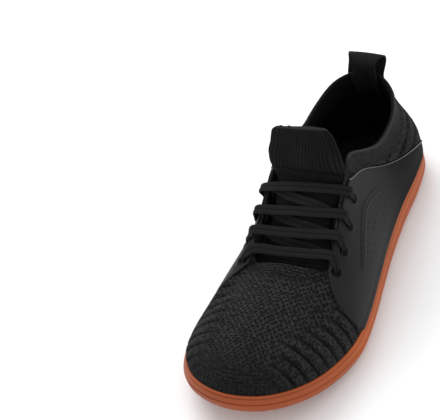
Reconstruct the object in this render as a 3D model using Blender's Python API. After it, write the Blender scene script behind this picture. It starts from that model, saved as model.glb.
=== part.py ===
"""Left barefoot shoe with a knit upper, a gum rubber cup sole, two side overlays and a flat lace.

The toe points to -Y, the outer side of the foot is +X, and the shoe stands on z = 0.
Places round the shoe are given by a turn: 0 at the toe tip, 1 at the heel, positive on
the lateral side and negative on the medial side.
"""

import math

import bmesh
import bpy
import numpy as np
from mathutils import Matrix, Vector

MM = 0.001

# Driving sizes of the last
SHOE_LENGTH = 283 * MM
BALL_WIDTH = 101 * MM
HEEL_WIDTH = 77 * MM
INSTEP_HEIGHT = 97 * MM
COLLAR_HEIGHT = 71 * MM
TOE_SPRING = 23.5 * MM
HEEL_SPRING = 1.5 * MM

# Sole
SOLE_WALL_HEIGHT = 22 * MM
SOLE_WALL = 3.4 * MM
SOLE_THICKNESS = 5.5 * MM
PAD_STEP = 1.0 * MM
PAD_DRAFT = 0.3 * MM
GROOVE_WIDTH = 2.2 * MM

# Upper, insole and tongue
KNIT_WALL = 1.8 * MM
COLLAR_WALL = 3.0 * MM
INSOLE_THICKNESS = 3.0 * MM
TONGUE_THICKNESS = 2.4 * MM
TONGUE_HEIGHT = 111 * MM
TONGUE_WIDTH = 40 * MM

# Overlays, pull loop and lace
OVERLAY_THICKNESS = 1.2 * MM
BEAD_HEIGHT = 0.9 * MM
EYELET_DIAMETER = 5.6 * MM
EYELET_SETBACK = 10.5 * MM
LOOP_WIDTH = 25 * MM
LOOP_SHIFT = 2 * MM
LOOP_SEAT = 0.9 * MM
LOOP_TILT = 0.14
LOOP_THICKNESS = 1.3 * MM
LOOP_RISE = 14 * MM
LOOP_TAIL = 18 * MM
LOOP_BULGE = 1.8
LACE_WIDTH = 6.0 * MM
LACE_THICKNESS = 1.3 * MM
LACE_STEP = 4 * MM
LACE_ROOM = 1.2 * MM
LACE_SQUEEZE = 0.7
LACE_LIFT = 1.1 * MM
LACE_OVER = OVERLAY_THICKNESS + LACE_LIFT + LACE_THICKNESS / 2

# Gap between pieces that touch on the real shoe
GAP = 0.35 * MM

# Length of edge that a full turn of one radian counts as, when points are spread round a loop
BEND_LENGTH = 30 * MM

# Mesh fineness
LOOP_POINTS = 2400
TURN_STEPS = 64
RISE_STEPS = 10
RUNGS = 4
OVERLAY_STEPS = 16
OVERLAY_RISES = 10
THROAT_STEPS = 12
FLAP_STEPS = 7
TONGUE_STEPS = 12
LOOP_COLUMNS = 7
GROOVE_STEPS = 9

# Outline of the sole seen from above, as shares of the length from the heel
# and of the width there. Columns: along, lateral, medial
OUTLINE = (
    (0.000, 0.000, 0.000),
    (0.030, 0.285, -0.278),
    (0.090, 0.445, -0.450),
    (0.180, 0.497, -0.500),
    (0.300, 0.494, -0.440),
    (0.420, 0.482, -0.345),
    (0.520, 0.482, -0.350),
    (0.620, 0.490, -0.440),
    (0.710, 0.490, -0.484),
    (0.800, 0.442, -0.491),
    (0.880, 0.362, -0.442),
    (0.945, 0.250, -0.332),
    (0.985, 0.124, -0.190),
    (1.000, -0.035, -0.035),
)

# Ribs of the last. Each climbs from the rim of the sole to the edge of the throat
# or collar. The edge is given as a share of the length from the heel, shares of the
# ball width, and shares of the local height; the four handles as shares of the climb
# or of the run from edge to rim
RIB_COLUMNS = (
    "turn", "along", "lateral", "medial", "high_lateral", "high_medial",
    "flare", "rise", "reach", "dip",
)
RIBS = (
    (0.00, 0.672, -0.010, -0.010, 0.580, 0.580, 0.04, 0.60, 0.56, 0.20),
    (0.12, 0.668, 0.135, -0.132, 0.570, 0.545, 0.04, 0.54, 0.52, 0.20),
    (0.24, 0.652, 0.244, -0.216, 0.535, 0.500, 0.03, 0.42, 0.40, 0.22),
    (0.36, 0.606, 0.238, -0.240, 0.620, 0.590, 0.02, 0.36, 0.36, 0.26),
    (0.48, 0.544, 0.222, -0.250, 0.738, 0.710, 0.00, 0.36, 0.40, 0.34),
    (0.58, 0.486, 0.212, -0.252, 0.860, 0.835, 0.00, 0.38, 0.40, 0.40),
    (0.64, 0.442, 0.204, -0.248, 0.975, 0.955, 0.00, 0.38, 0.32, 0.42),
    (0.70, 0.366, 0.230, -0.270, 0.940, 0.945, 0.01, 0.38, 0.22, 0.40),
    (0.78, 0.281, 0.248, -0.274, 0.935, 0.970, 0.04, 0.40, 0.12, 0.36),
    (0.86, 0.189, 0.238, -0.272, 0.920, 0.960, 0.09, 0.44, 0.10, 0.34),
    (0.93, 0.114, 0.172, -0.238, 0.945, 0.965, 0.11, 0.46, 0.12, 0.34),
    (0.967, 0.076, 0.076, -0.156, 0.980, 0.985, 0.10, 0.46, 0.14, 0.34),
    (1.00, 0.062, -0.042, -0.042, 1.000, 1.000, 0.09, 0.46, 0.15, 0.34),
)
# Share of the lower handle's climb that the medial side lacks
MEDIAL_SLACK = 0.34
# Fillet between the sole's wall and its footbed, as a share of the wall
FOOTBED_FILLET = 0.3

# Height of the sole's wall, as shares of its full height. Columns: turn, height
WALL = (
    (0.00, 0.67),
    (0.25, 0.70),
    (0.42, 0.83),
    (0.58, 0.97),
    (0.72, 0.92),
    (0.86, 0.76),
    (1.00, 0.69),
)

# Side of the sole from the tread edge up to the rim and down inside, as shares of the
# wall's thickness and height: rounded edge, crease at half height, line under the rim.
# Columns: inset, height
SIDE = (
    (2.50, 0.02),
    (1.50, 0.05),
    (0.75, 0.15),
    (0.22, 0.29),
    (0.00, 0.46),
    (0.00, 0.56),
    (0.20, 0.60),
    (0.08, 0.65),
    (0.26, 0.83),
    (0.46, 0.87),
    (0.40, 0.92),
    (0.62, 1.00),
    (1.00, 1.00),
)

# Tread pad under the foot, as shares of the length from the heel and of the width there.
# Columns: along, lateral, medial
PAD = (
    (0.050, 0.00, 0.00),
    (0.075, 0.20, -0.20),
    (0.130, 0.32, -0.34),
    (0.220, 0.32, -0.36),
    (0.330, 0.30, -0.16),
    (0.430, 0.31, -0.02),
    (0.540, 0.33, -0.02),
    (0.620, 0.35, -0.18),
    (0.700, 0.35, -0.36),
    (0.780, 0.30, -0.38),
    (0.850, 0.18, -0.30),
    (0.890, -0.06, -0.06),
)

# Grooves that part the tread pad, curved towards the toe. Columns: along, lateral, medial, bow
GROOVES = (
    (0.175, 0.36, -0.40, 0.020),
    (0.275, 0.36, -0.34, 0.022),
    (0.630, 0.40, -0.26, 0.022),
    (0.735, 0.40, -0.44, 0.024),
)

# Overlay on each side: turns of its front and rear edges at the sole and at the throat
OVERLAY_FRONT = (0.375, 0.252)
OVERLAY_REAR = (0.870, 0.595)
# Height over the knit, rises of its lower and upper edge, the share of its length that each
# rounded top corner takes and how far it drops there, and the bead's share of its length
OVERLAY_SEAT = 0.45 * MM
OVERLAY_FOOT = 0.015
OVERLAY_TOP = 0.985
OVERLAY_CORNER = 0.12
OVERLAY_DROP = 0.07
BEAD_SHARE = 0.035
# Bead's height over the last three columns of the overlay, as shares of its full height
BEAD_PROFILE = (0.75, 0.85, 0.15)

# Turns of the ribs that each pair of eyelets sits on, toe end first. Columns: lateral, medial
EYELETS = (
    (0.320, 0.303),
    (0.400, 0.376),
    (0.475, 0.450),
    (0.550, 0.524),
)

# Lace through an eyelet, from the top of the eyestay to its underside: distance inwards as a
# share of the eyelet's radius, height as a share of the lace's height over the knit or
# under it, the side it faces and its share of the full width.
# Columns: inwards, height, facing, width
EYELET_PATH = (
    (1.50, 1.00, "out", 0.85),
    (0.75, 0.98, "out", 0.60),
    (0.12, 0.35, "back", 0.50),
    (0.12, -0.35, "back", 0.50),
    (0.75, -0.90, "in", 0.60),
    (1.40, -1.00, "in", LACE_SQUEEZE),
)

# Shares of the way across the tongue where a bar and a diagonal of the lace have a node
BAR_SHARES = (0.68, 0.50, 0.32)
DIAGONAL_SHARES = (0.30, 0.50, 0.70)

# Ribbed flap of the tongue above the throat, as shares of the length from the heel, of the
# tongue's height and of its width. Columns: along, height, width, sag
FLAP = (
    (0.500, 0.810, 1.04, 0.12),
    (0.484, 0.905, 1.02, 0.08),
    (0.472, 1.000, 0.95, 0.04),
)
# Centre of the flap as a share of the ball width
FLAP_CENTRE = -0.066

# First row of the tongue, sewn under the vamp. Columns: share of the throat's first turn, rise
TUCKED = (
    (1.0, 0.93),
    (0.7, 0.92),
    (0.0, 0.91),
    (-0.7, 0.92),
    (-1.0, 0.93),
)

# The tongue in the throat: rise of its edges, depth under the lace's room, crown as a share
# of its width, its first and last turn, and where the five points of a row lie across it
TONGUE_REACH = 0.90
TONGUE_SINK = 2.2 * MM
TONGUE_CROWN = 0.08
THROAT_FIRST = 0.20
THROAT_LAST = 0.56
TONGUE_KNOTS = (0.0, 0.15, 0.5, 0.85, 1.0)

# Turns round the heel between which the pull loop's webbing lies
HEEL_SPAN = (0.85, 1.15)
HEEL_SAMPLES = 121
# Rise of the webbing's lower end, and how flat it gets over the collar along X, Y and Z
LOOP_FOOT = 0.03
LOOP_FLATNESS = (1.0, 0.1, 0.25)

COLOURS = {
    "outsole": ((0.42, 0.13, 0.055), 0.55),
    "insole": ((0.030, 0.030, 0.032), 0.90),
    "upper": ((0.022, 0.022, 0.024), 0.85),
    "tongue": ((0.026, 0.026, 0.028), 0.85),
    "overlay": ((0.030, 0.030, 0.032), 0.50),
    "pull_loop": ((0.018, 0.018, 0.020), 0.75),
    "laces": ((0.024, 0.024, 0.026), 0.75),
}


def clear_scene():
    for thing in list(bpy.data.objects):
        bpy.data.objects.remove(thing, do_unlink=True)


def ease(share):
    """Smooth step from 0 to 1."""
    share = np.clip(share, 0.0, 1.0)
    return share * share * (3 - 2 * share)


def through(knots, values, at, period=None):
    """Smooth curve through values at rising knots, closed after a period if one is given."""
    knots = np.asarray(knots, float)
    values = np.asarray(values, float)
    at = np.asarray(at, float)
    if period:
        knots = np.concatenate([knots[-2:] - period, knots, knots[:2] + period])
        values = np.concatenate([values[-2:], values, values[:2]])
        at = np.mod(at - knots[2], period) + knots[2]
    slopes = np.empty_like(values)
    slopes[1:-1] = (values[2:] - values[:-2]) / (knots[2:] - knots[:-2])[:, None]
    slopes[0] = (values[1] - values[0]) / (knots[1] - knots[0])
    slopes[-1] = (values[-1] - values[-2]) / (knots[-1] - knots[-2])
    span = np.clip(np.searchsorted(knots, at, side="right") - 1, 0, len(knots) - 2)
    width = (knots[span + 1] - knots[span])[..., None]
    t = (at - knots[span])[..., None] / width
    start = (2 * t**3 - 3 * t**2 + 1) * values[span] + (t**3 - 2 * t**2 + t) * width * slopes[span]
    end = (3 * t**2 - 2 * t**3) * values[span + 1] + (t**3 - t**2) * width * slopes[span + 1]
    return start + end


def width_at(along):
    return HEEL_WIDTH + (BALL_WIDTH - HEEL_WIDTH) * ease((along - 0.2) / 0.5)


def ground_at(y):
    """Height of the sole's underside: flat, lifting at the toe and a little at the heel."""
    along = 0.5 - y / SHOE_LENGTH
    toe = np.clip((along - 0.66) / 0.34, 0, None)
    heel = np.clip((0.10 - along) / 0.10, 0, None)
    return TOE_SPRING * toe**2 + HEEL_SPRING * heel**2


def loop_points(table):
    """Points of a closed outline from a table of rows, toe tip first, then down the lateral side."""
    places = [(along, lateral) for along, lateral, medial in table[::-1]]
    places += [(along, medial) for along, lateral, medial in table[1:-1]]
    return np.array([(across * width_at(along), (0.5 - along) * SHOE_LENGTH) for along, across in places])


def turned(points, heel_index):
    """The closed curve through the points, as turns, places and outward directions."""
    steps = np.linalg.norm(np.roll(points, -1, axis=0) - points, axis=1) ** 0.5
    knots = np.concatenate([[0], np.cumsum(steps)])
    fine = np.linspace(0, knots[-1], LOOP_POINTS + 1)
    heel_knot = knots[heel_index]
    place = through(knots[:-1], points, fine, period=knots[-1])
    ahead = np.gradient(place, axis=0)
    ahead /= np.linalg.norm(ahead, axis=1)[:, None]
    outward = np.stack([ahead[:, 1], -ahead[:, 0]], axis=1)
    lengths = np.linalg.norm(np.diff(place, axis=0), axis=1)
    angles = np.linalg.norm(np.diff(ahead, axis=0), axis=1)
    walked = np.concatenate([[0], np.cumsum(lengths + BEND_LENGTH * angles)])
    heel_walk = np.interp(heel_knot, fine, walked)
    turns = np.where(
        walked <= heel_walk,
        walked / heel_walk,
        1 + (walked - heel_walk) / (walked[-1] - heel_walk),
    )
    return turns, place, outward


EDGE_TURNS, EDGE_PLACES, EDGE_OUTWARD = turned(loop_points(OUTLINE), len(OUTLINE) - 1)
PAD_TURNS, PAD_PLACES, PAD_OUTWARD = turned(loop_points(PAD), len(PAD) - 1)


def read_loop(turns, columns, turn):
    turn = np.mod(np.asarray(turn, float), 2.0)
    return np.stack([np.interp(turn, turns, columns[:, i]) for i in range(2)], axis=-1)


def outline(turn, inset):
    """Point in plan on the sole's outline, moved inwards."""
    place = read_loop(EDGE_TURNS, EDGE_PLACES, turn)
    outward = read_loop(EDGE_TURNS, EDGE_OUTWARD, turn)
    outward = outward / np.linalg.norm(outward, axis=-1, keepdims=True)
    return place - outward * np.asarray(inset)[..., None], outward


def mirrored_rows(table, lateral_columns, medial_columns):
    """Rows round the whole loop: the lateral columns from toe to heel, then the medial ones back."""
    knots = [row[0] for row in table] + [2 - row[0] for row in table[-2:0:-1]]
    values = [[row[i] for i in lateral_columns] for row in table]
    values += [[row[i] for i in medial_columns] for row in table[-2:0:-1]]
    return knots, values


def wall_height(turn):
    knots, values = mirrored_rows(WALL, (1,), (1,))
    return SOLE_WALL_HEIGHT * through(knots, values, turn, period=2)[..., 0]


def rib_columns(across, high):
    """Places of a side's columns in the table of ribs."""
    return [RIB_COLUMNS.index(name) for name in ("along", across, high, "flare", "rise", "reach", "dip")]


RIB_KNOTS, RIB_VALUES = mirrored_rows(
    RIBS, rib_columns("lateral", "high_lateral"), rib_columns("medial", "high_medial")
)
UPPER_INSET = SOLE_WALL + GAP


def upper_surface(turn, rise):
    """Outer surface of the upper: rise 0 is just over the sole's rim and 1 is the edge."""
    turn, rise = np.broadcast_arrays(np.asarray(turn, float), np.asarray(rise, float))
    row = through(RIB_KNOTS, RIB_VALUES, np.mod(turn, 2.0), period=2)
    along, across, high, flare, lift, reach, dip = np.moveaxis(row, -1, 0)
    lift = lift * (1 - MEDIAL_SLACK * np.clip(-np.sin(np.pi * turn), 0, 1))
    back = ease((1 - np.abs(np.mod(turn + 1, 2.0) - 1) - 0.20) / 0.20)
    local_height = COLLAR_HEIGHT + (INSTEP_HEIGHT - COLLAR_HEIGHT) * back
    edge = np.stack([across * BALL_WIDTH, (0.5 - along) * SHOE_LENGTH, high * local_height], axis=-1)
    plan, outward = outline(turn, np.full(turn.shape, UPPER_INSET))
    foot_z = ground_at(plan[..., 1]) + wall_height(turn) + GAP
    foot = np.concatenate([plan, foot_z[..., None]], axis=-1)
    climb = edge[..., 2] - foot[..., 2]
    out = np.concatenate([outward, np.zeros_like(foot_z)[..., None]], axis=-1)
    up = np.array([0.0, 0.0, 1.0])
    run = (foot - edge) * np.array([1.0, 1.0, 0.0])
    low_handle = foot + out * (flare * climb)[..., None] + up * (lift * climb)[..., None]
    high_handle = edge + run * reach[..., None] - up * (dip * climb)[..., None]
    t = rise[..., None]
    low_half = (1 - t) ** 3 * foot + 3 * t * (1 - t) ** 2 * low_handle
    return low_half + 3 * t**2 * (1 - t) * high_handle + t**3 * edge


def upper_normal(turn, rise):
    """Outward direction of the upper's surface."""
    small = 0.002
    turn, rise = np.broadcast_arrays(np.asarray(turn, float), np.asarray(rise, float))
    round_it = upper_surface(turn + small, rise) - upper_surface(turn - small, rise)
    above, below = np.minimum(rise + small, 1), np.maximum(rise - small, 0)
    climbing = upper_surface(turn, above) - upper_surface(turn, below)
    out = np.cross(round_it, climbing)
    return out / np.linalg.norm(out, axis=-1, keepdims=True)


def upper_wall(turn, rise):
    """Thickness of the upper: thin knit, thicker where the collar is padded."""
    turn = np.abs(np.mod(np.asarray(turn, float) + 1, 2.0) - 1)
    padded = ease((turn - 0.62) / 0.1) * ease((np.asarray(rise, float) - 0.45) / 0.4)
    return KNIT_WALL + (COLLAR_WALL - KNIT_WALL) * padded


def off_upper(turn, rise, outwards):
    """Point at a distance outside the upper's outer surface."""
    turn, rise, outwards = np.broadcast_arrays(turn, rise, outwards)
    return upper_surface(turn, rise) + upper_normal(turn, rise) * outwards[..., None]


def inside_upper(turn, rise, inwards):
    """Point at a distance inside the upper's inner surface."""
    return off_upper(turn, rise, -(upper_wall(turn, rise) + inwards))


def add_object(name, bm, look):
    """Closes up a mesh, faces it outwards and gives it its material."""
    bmesh.ops.recalc_face_normals(bm, faces=bm.faces[:])
    mesh = bpy.data.meshes.new(name)
    bm.to_mesh(mesh)
    bm.free()
    thing = bpy.data.objects.new(name, mesh)
    bpy.context.scene.collection.objects.link(thing)
    mesh.shade_smooth()
    mesh.set_sharp_from_angle(angle=math.radians(40))
    colour, roughness = COLOURS[look]
    material = bpy.data.materials.get(look) or bpy.data.materials.new(look)
    material.use_nodes = True
    shader = material.node_tree.nodes["Principled BSDF"]
    shader.inputs["Base Color"].default_value = (*colour, 1)
    shader.inputs["Roughness"].default_value = roughness
    shader.inputs["Metallic"].default_value = 0
    mesh.materials.append(material)
    return thing


def cut_with(name, bm, pieces):
    """Takes a hidden cutter's shape out of each piece."""
    bmesh.ops.recalc_face_normals(bm, faces=bm.faces[:])
    mesh = bpy.data.meshes.new(name)
    bm.to_mesh(mesh)
    bm.free()
    cutter = bpy.data.objects.new(name, mesh)
    bpy.context.scene.collection.objects.link(cutter)
    cutter.hide_render = True
    cutter.display_type = "WIRE"
    for piece in pieces:
        cut = piece.modifiers.new(name, "BOOLEAN")
        cut.operation = "DIFFERENCE"
        cut.object = cutter


def bridge(bm, first, second, closed=True):
    """Faces between two rows of vertices."""
    last = len(first) if closed else len(first) - 1
    for i in range(last):
        j = (i + 1) % len(first)
        bm.faces.new((first[i], first[j], second[j], second[i]))


def rows_of(bm, rings):
    return [[bm.verts.new(point) for point in ring] for ring in rings]


def fill_across(bm, ring, height_over_ground):
    """Fills a loop with rungs from its lateral to its medial side, at a height over the curved ground."""
    half = len(ring) // 2
    ladder = []
    for i in range(1, half):
        left, right = ring[i], ring[-i]
        row = [left]
        for step in range(1, RUNGS):
            place = left.co.lerp(right.co, step / RUNGS)
            place.z = float(ground_at(place.y)) + height_over_ground
            row.append(bm.verts.new(place))
        ladder.append(row + [right])
    for first, second in zip(ladder, ladder[1:]):
        bridge(bm, first, second, closed=False)
    for tip, row in ((ring[0], ladder[0]), (ring[half], ladder[-1])):
        for a, b in zip(row, row[1:]):
            bm.faces.new((tip, a, b))


def plate(bm, outer, inner):
    """Closed sheet between two grids of points."""
    top, under = rows_of(bm, outer), rows_of(bm, inner)
    for grid in (top, under):
        for first, second in zip(grid, grid[1:]):
            bridge(bm, first, second, closed=False)
    for a, b in ((top[0], under[0]), (top[-1], under[-1])):
        bridge(bm, a, b, closed=False)
    for side in (0, -1):
        bridge(bm, [row[side] for row in top], [row[side] for row in under], closed=False)


TURNS = np.arange(TURN_STEPS) * 2 / TURN_STEPS


def ring_at(inset, height):
    """Ring of points round the sole, at an inset and a height over the curved ground."""
    plan, _ = outline(TURNS, np.broadcast_to(inset, TURNS.shape))
    z = ground_at(plan[:, 1]) + height
    return np.concatenate([plan, z[:, None]], axis=1)


def make_outsole():
    """Cup sole: tread pad, rounded lower edge, creased side, rim, and the footbed inside."""
    wall = wall_height(TURNS)
    pad = read_loop(PAD_TURNS, PAD_PLACES, TURNS)
    pad_out = read_loop(PAD_TURNS, PAD_OUTWARD, TURNS)
    pad_rings = []
    for spread, height in ((0.0, 0.0), (PAD_DRAFT, PAD_STEP)):
        plan = pad + pad_out * spread
        pad_rings.append(np.column_stack([plan, ground_at(plan[:, 1]) + height]))
    side = []
    for inset, share in SIDE:
        height = np.maximum(share * wall, PAD_STEP)
        side.append(ring_at(inset * SOLE_WALL, height))
    footbed = [
        ring_at(SOLE_WALL, SOLE_THICKNESS + FOOTBED_FILLET * SOLE_WALL),
        ring_at((1 + FOOTBED_FILLET) * SOLE_WALL, SOLE_THICKNESS),
    ]
    bm = bmesh.new()
    rows = rows_of(bm, pad_rings + side + footbed)
    for first, second in zip(rows, rows[1:]):
        bridge(bm, first, second)
    fill_across(bm, rows[0], 0.0)
    fill_across(bm, rows[-1], SOLE_THICKNESS)
    sole = add_object("outsole", bm, "outsole")
    cut_grooves(sole)
    return sole


def cut_grooves(sole):
    """Curved grooves across the tread pad, between its heel, middle and forefoot lugs."""
    bm = bmesh.new()
    for along, lateral, medial, bow in GROOVES:
        width = width_at(along)
        across = np.linspace(lateral, medial, GROOVE_STEPS)
        arch = 1 - np.linspace(-1, 1, GROOVE_STEPS) ** 2
        y = (0.5 - along - bow * arch) * SHOE_LENGTH
        strips = []
        for edge, depth in ((-0.5, -1.0), (-0.5, 1.0), (0.5, 1.0), (0.5, -1.0)):
            beside = y + edge * GROOVE_WIDTH
            strips.append(np.column_stack([across * width, beside, ground_at(beside) + depth * PAD_STEP]))
        rings = rows_of(bm, np.moveaxis(np.array(strips), 0, 1))
        for first, second in zip(rings, rings[1:]):
            bridge(bm, first, second)
        bm.faces.new(rings[0])
        bm.faces.new(rings[-1])
    cut_with("tread_groove_cutter", bm, (sole,))


def make_insole():
    """Flat insole that lies on the footbed inside the upper."""
    edge = (1 + FOOTBED_FILLET) * SOLE_WALL + KNIT_WALL + GAP
    low = SOLE_THICKNESS + GAP
    high = low + INSOLE_THICKNESS
    soften = INSOLE_THICKNESS / 3
    rings = [
        ring_at(edge + soften, low),
        ring_at(edge, low + soften),
        ring_at(edge, high - soften),
        ring_at(edge + soften, high),
    ]
    bm = bmesh.new()
    rows = rows_of(bm, rings)
    for first, second in zip(rows, rows[1:]):
        bridge(bm, first, second)
    fill_across(bm, rows[0], low)
    fill_across(bm, rows[-1], high)
    return add_object("insole", bm, "insole")


def make_upper():
    """Hollow knit upper: one wall from inside the sole's cup up to the throat and collar edge."""
    rises = np.linspace(0, 1, RISE_STEPS + 1)
    outer, inner = [], []
    plan, outward = outline(TURNS, np.full(TURN_STEPS, UPPER_INSET))
    bottom = ground_at(plan[:, 1]) + SOLE_THICKNESS + FOOTBED_FILLET * SOLE_WALL + GAP
    outer.append(np.column_stack([plan, bottom]))
    inner.append(np.column_stack([plan - outward * KNIT_WALL, bottom]))
    for rise in rises:
        outer.append(upper_surface(TURNS, rise))
        inner.append(inside_upper(TURNS, rise, 0.0))
    bm = bmesh.new()
    rows = rows_of(bm, outer + inner[::-1])
    for first, second in zip(rows, rows[1:] + rows[:1]):
        bridge(bm, first, second)
    return add_object("upper", bm, "upper")


def tongue_drop():
    """Depth of the tongue under the upper, with room for the lace between them."""
    return LACE_THICKNESS + 2 * LACE_ROOM + TONGUE_SINK


def tongue_row(turn):
    """Five points across the throat, from under the lateral edge to under the medial one."""
    drop = tongue_drop()
    under = ((1, TONGUE_REACH), (1, 1.0), (-1, 1.0), (-1, TONGUE_REACH))
    ends = [inside_upper(side * turn, rise, drop) for side, rise in under]
    up = across_up(turn, turn)
    crown = TONGUE_CROWN * np.linalg.norm(ends[1] - ends[2]) * ease((turn - THROAT_FIRST) / 0.15)
    middle = (ends[1] + ends[2]) / 2 + up * crown
    return np.array([ends[0], ends[1], middle, ends[2], ends[3]])


def across_up(lateral, medial):
    """Direction straight out of the throat between a lateral and a medial turn."""
    up = upper_normal(lateral, 1.0) + upper_normal(-medial, 1.0)
    return up / np.linalg.norm(up)


def across_tongue(turn, share):
    """Point on the tongue's top, from 0 under the lateral edge to 1 under the medial one."""
    return through(TONGUE_KNOTS, tongue_row(turn), share)


def tongue_normal(turn, share):
    """Direction straight out of the tongue's top."""
    small = 0.01
    along = across_tongue(turn + small, share) - across_tongue(turn - small, share)
    across = across_tongue(turn, share + small) - across_tongue(turn, share - small)
    out = np.cross(along, across)
    return out / np.linalg.norm(out)


def tucked_row():
    """First row of the tongue, sewn under the vamp ahead of the throat."""
    return np.array([inside_upper(across * THROAT_FIRST, rise, tongue_drop()) for across, rise in TUCKED])


def flap_row(along, height, width, sag):
    half = width * TONGUE_WIDTH / 2
    y = (0.5 - along) * SHOE_LENGTH
    spread = ((1, sag), (0.7, sag / 2), (0, 0), (-0.7, sag / 2), (-1, sag))
    centre = FLAP_CENTRE * BALL_WIDTH
    return np.array(
        [(centre + across * half, y + back * TONGUE_WIDTH, height * TONGUE_HEIGHT) for across, back in spread]
    )


def make_tongue():
    """Tongue under the throat, rising into the ribbed flap that stands over the collar."""
    throat = [tongue_row(turn) for turn in np.linspace(THROAT_FIRST, THROAT_LAST, THROAT_STEPS)]
    net = np.array([tucked_row()] + throat + [flap_row(*row) for row in FLAP])
    steps = np.linspace(0, 1, TONGUE_STEPS + 1)
    rows = np.array([through(TONGUE_KNOTS, row, steps) for row in net])
    walked = np.concatenate([[0], np.cumsum(np.linalg.norm(np.diff(net[:, 2], axis=0), axis=1))])
    flap_start = walked[THROAT_STEPS]
    lengthwise = np.concatenate([walked[:THROAT_STEPS], np.linspace(flap_start, walked[-1], FLAP_STEPS + 1)])
    flat = through(walked, rows.reshape(len(rows), -1), lengthwise)
    grid = flat.reshape(len(lengthwise), len(steps), 3)
    out = np.cross(np.gradient(grid, axis=0), np.gradient(grid, axis=1))
    out /= np.linalg.norm(out, axis=-1, keepdims=True)
    out *= np.sign(out[THROAT_STEPS // 2, TONGUE_STEPS // 2, 2])
    bm = bmesh.new()
    plate(bm, grid, grid - out * TONGUE_THICKNESS)
    return add_object("tongue", bm, "tongue")


def rise_below_edge(turn, distance):
    """Rise of the point on a rib that lies a distance below the upper's edge."""
    rises = np.linspace(0, 1, 60)
    rib = upper_surface(turn, rises)
    walked = np.concatenate([[0], np.cumsum(np.linalg.norm(np.diff(rib, axis=0), axis=1))])
    return float(np.interp(walked[-1] - distance, walked, rises))


def make_overlay(name, side):
    """Synthetic overlay from the sole up to the eyestay, with a bead along its rear edge."""
    bead = np.array([1.0, 0.5, 0.0]) * BEAD_SHARE
    shares = np.concatenate([np.linspace(0, 1 - 2 * BEAD_SHARE, OVERLAY_STEPS), 1 - bead])
    proud = np.concatenate([np.zeros(OVERLAY_STEPS), BEAD_PROFILE]) * BEAD_HEIGHT
    rises = np.linspace(OVERLAY_FOOT, 1, OVERLAY_RISES)
    share, rise = np.meshgrid(shares, rises, indexing="ij")
    near_end = np.clip((np.abs(share - 0.5) - 0.5 + OVERLAY_CORNER) / OVERLAY_CORNER, 0, 1)
    top = OVERLAY_TOP - OVERLAY_DROP * (1 - np.sqrt(1 - 0.96 * near_end**2))
    front = OVERLAY_FRONT[0] + (OVERLAY_FRONT[1] - OVERLAY_FRONT[0]) * rise
    rear = OVERLAY_REAR[0] + (OVERLAY_REAR[1] - OVERLAY_REAR[0]) * rise
    turn = side * (front + (rear - front) * share)
    rise = rise * top
    bm = bmesh.new()
    outer = off_upper(turn, rise, OVERLAY_SEAT + OVERLAY_THICKNESS + proud[:, None])
    plate(bm, outer, off_upper(turn, rise, OVERLAY_SEAT))
    return add_object(name, bm, "overlay")


def punch_eyelets(name, side, pieces):
    """Cuts one side's four round eyelets through the overlay and the knit under it."""
    bm = bmesh.new()
    for pair in EYELETS:
        turn = pair[0] if side > 0 else pair[1]
        rise = rise_below_edge(side * turn, EYELET_SETBACK)
        centre = upper_surface(side * turn, rise)
        axis = Vector(upper_normal(side * turn, rise)).to_track_quat("Z", "Y").to_matrix().to_4x4()
        bmesh.ops.create_cone(
            bm,
            cap_ends=True,
            segments=12,
            radius1=EYELET_DIAMETER / 2,
            radius2=EYELET_DIAMETER / 2,
            depth=4 * (KNIT_WALL + OVERLAY_THICKNESS),
            matrix=Matrix.Translation(centre) @ axis,
        )
    cut_with(name, bm, pieces)


def heel_turns(rise, half_width, steps):
    """Turns round the heel that spread evenly over a width at a rise."""
    turns = np.linspace(*HEEL_SPAN, HEEL_SAMPLES)
    ring = upper_surface(turns, rise)
    walked = np.concatenate([[0], np.cumsum(np.linalg.norm(np.diff(ring, axis=0), axis=1))])
    middle = walked[HEEL_SAMPLES // 2] + LOOP_SHIFT
    return np.interp(middle + np.linspace(-half_width, half_width, steps), walked, turns)


def make_pull_loop():
    """Webbing up the back of the heel, over in a loop above the collar and down inside it."""
    outside, inside = [], []
    for rise in np.linspace(LOOP_FOOT, 1, 10):
        turns = heel_turns(rise, LOOP_WIDTH / 2, LOOP_COLUMNS)
        outside.append(off_upper(turns, rise, GAP + LOOP_THICKNESS))
        inside.append(off_upper(turns, rise, GAP))
    tail_outside, tail_inside = [], []
    for distance in np.linspace(0, LOOP_TAIL, 4):
        rise = rise_below_edge(1.0, distance)
        turns = heel_turns(rise, LOOP_WIDTH / 2, LOOP_COLUMNS)
        tail_outside.append(inside_upper(turns, rise, LOOP_SEAT + LOOP_THICKNESS))
        tail_inside.append(inside_upper(turns, rise, LOOP_SEAT))
    for start, end, rows, height in (
        (outside[-1], tail_outside[0], outside, LOOP_RISE),
        (inside[-1], tail_inside[0], inside, LOOP_RISE - LOOP_THICKNESS),
    ):
        middle = (start + end) / 2
        reach = (start - end) / 2
        for angle in np.linspace(0, math.pi, 11)[1:-1]:
            lean = math.cos(angle) * (1 + LOOP_BULGE * math.sin(angle))
            row = middle + reach * lean
            tilt = 1 + LOOP_TILT * np.linspace(1, -1, LOOP_COLUMNS)
            row[:, 2] += height * tilt * math.sin(angle) ** 0.75
            centre = row[LOOP_COLUMNS // 2]
            flat = centre + (row - centre) * np.array(LOOP_FLATNESS)
            rows.append(row + (flat - row) * min(1.0, 3 * math.sin(angle)))
    bm = bmesh.new()
    plate(bm, outside + tail_outside, inside + tail_inside)
    return add_object("pull_loop", bm, "pull_loop")


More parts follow.
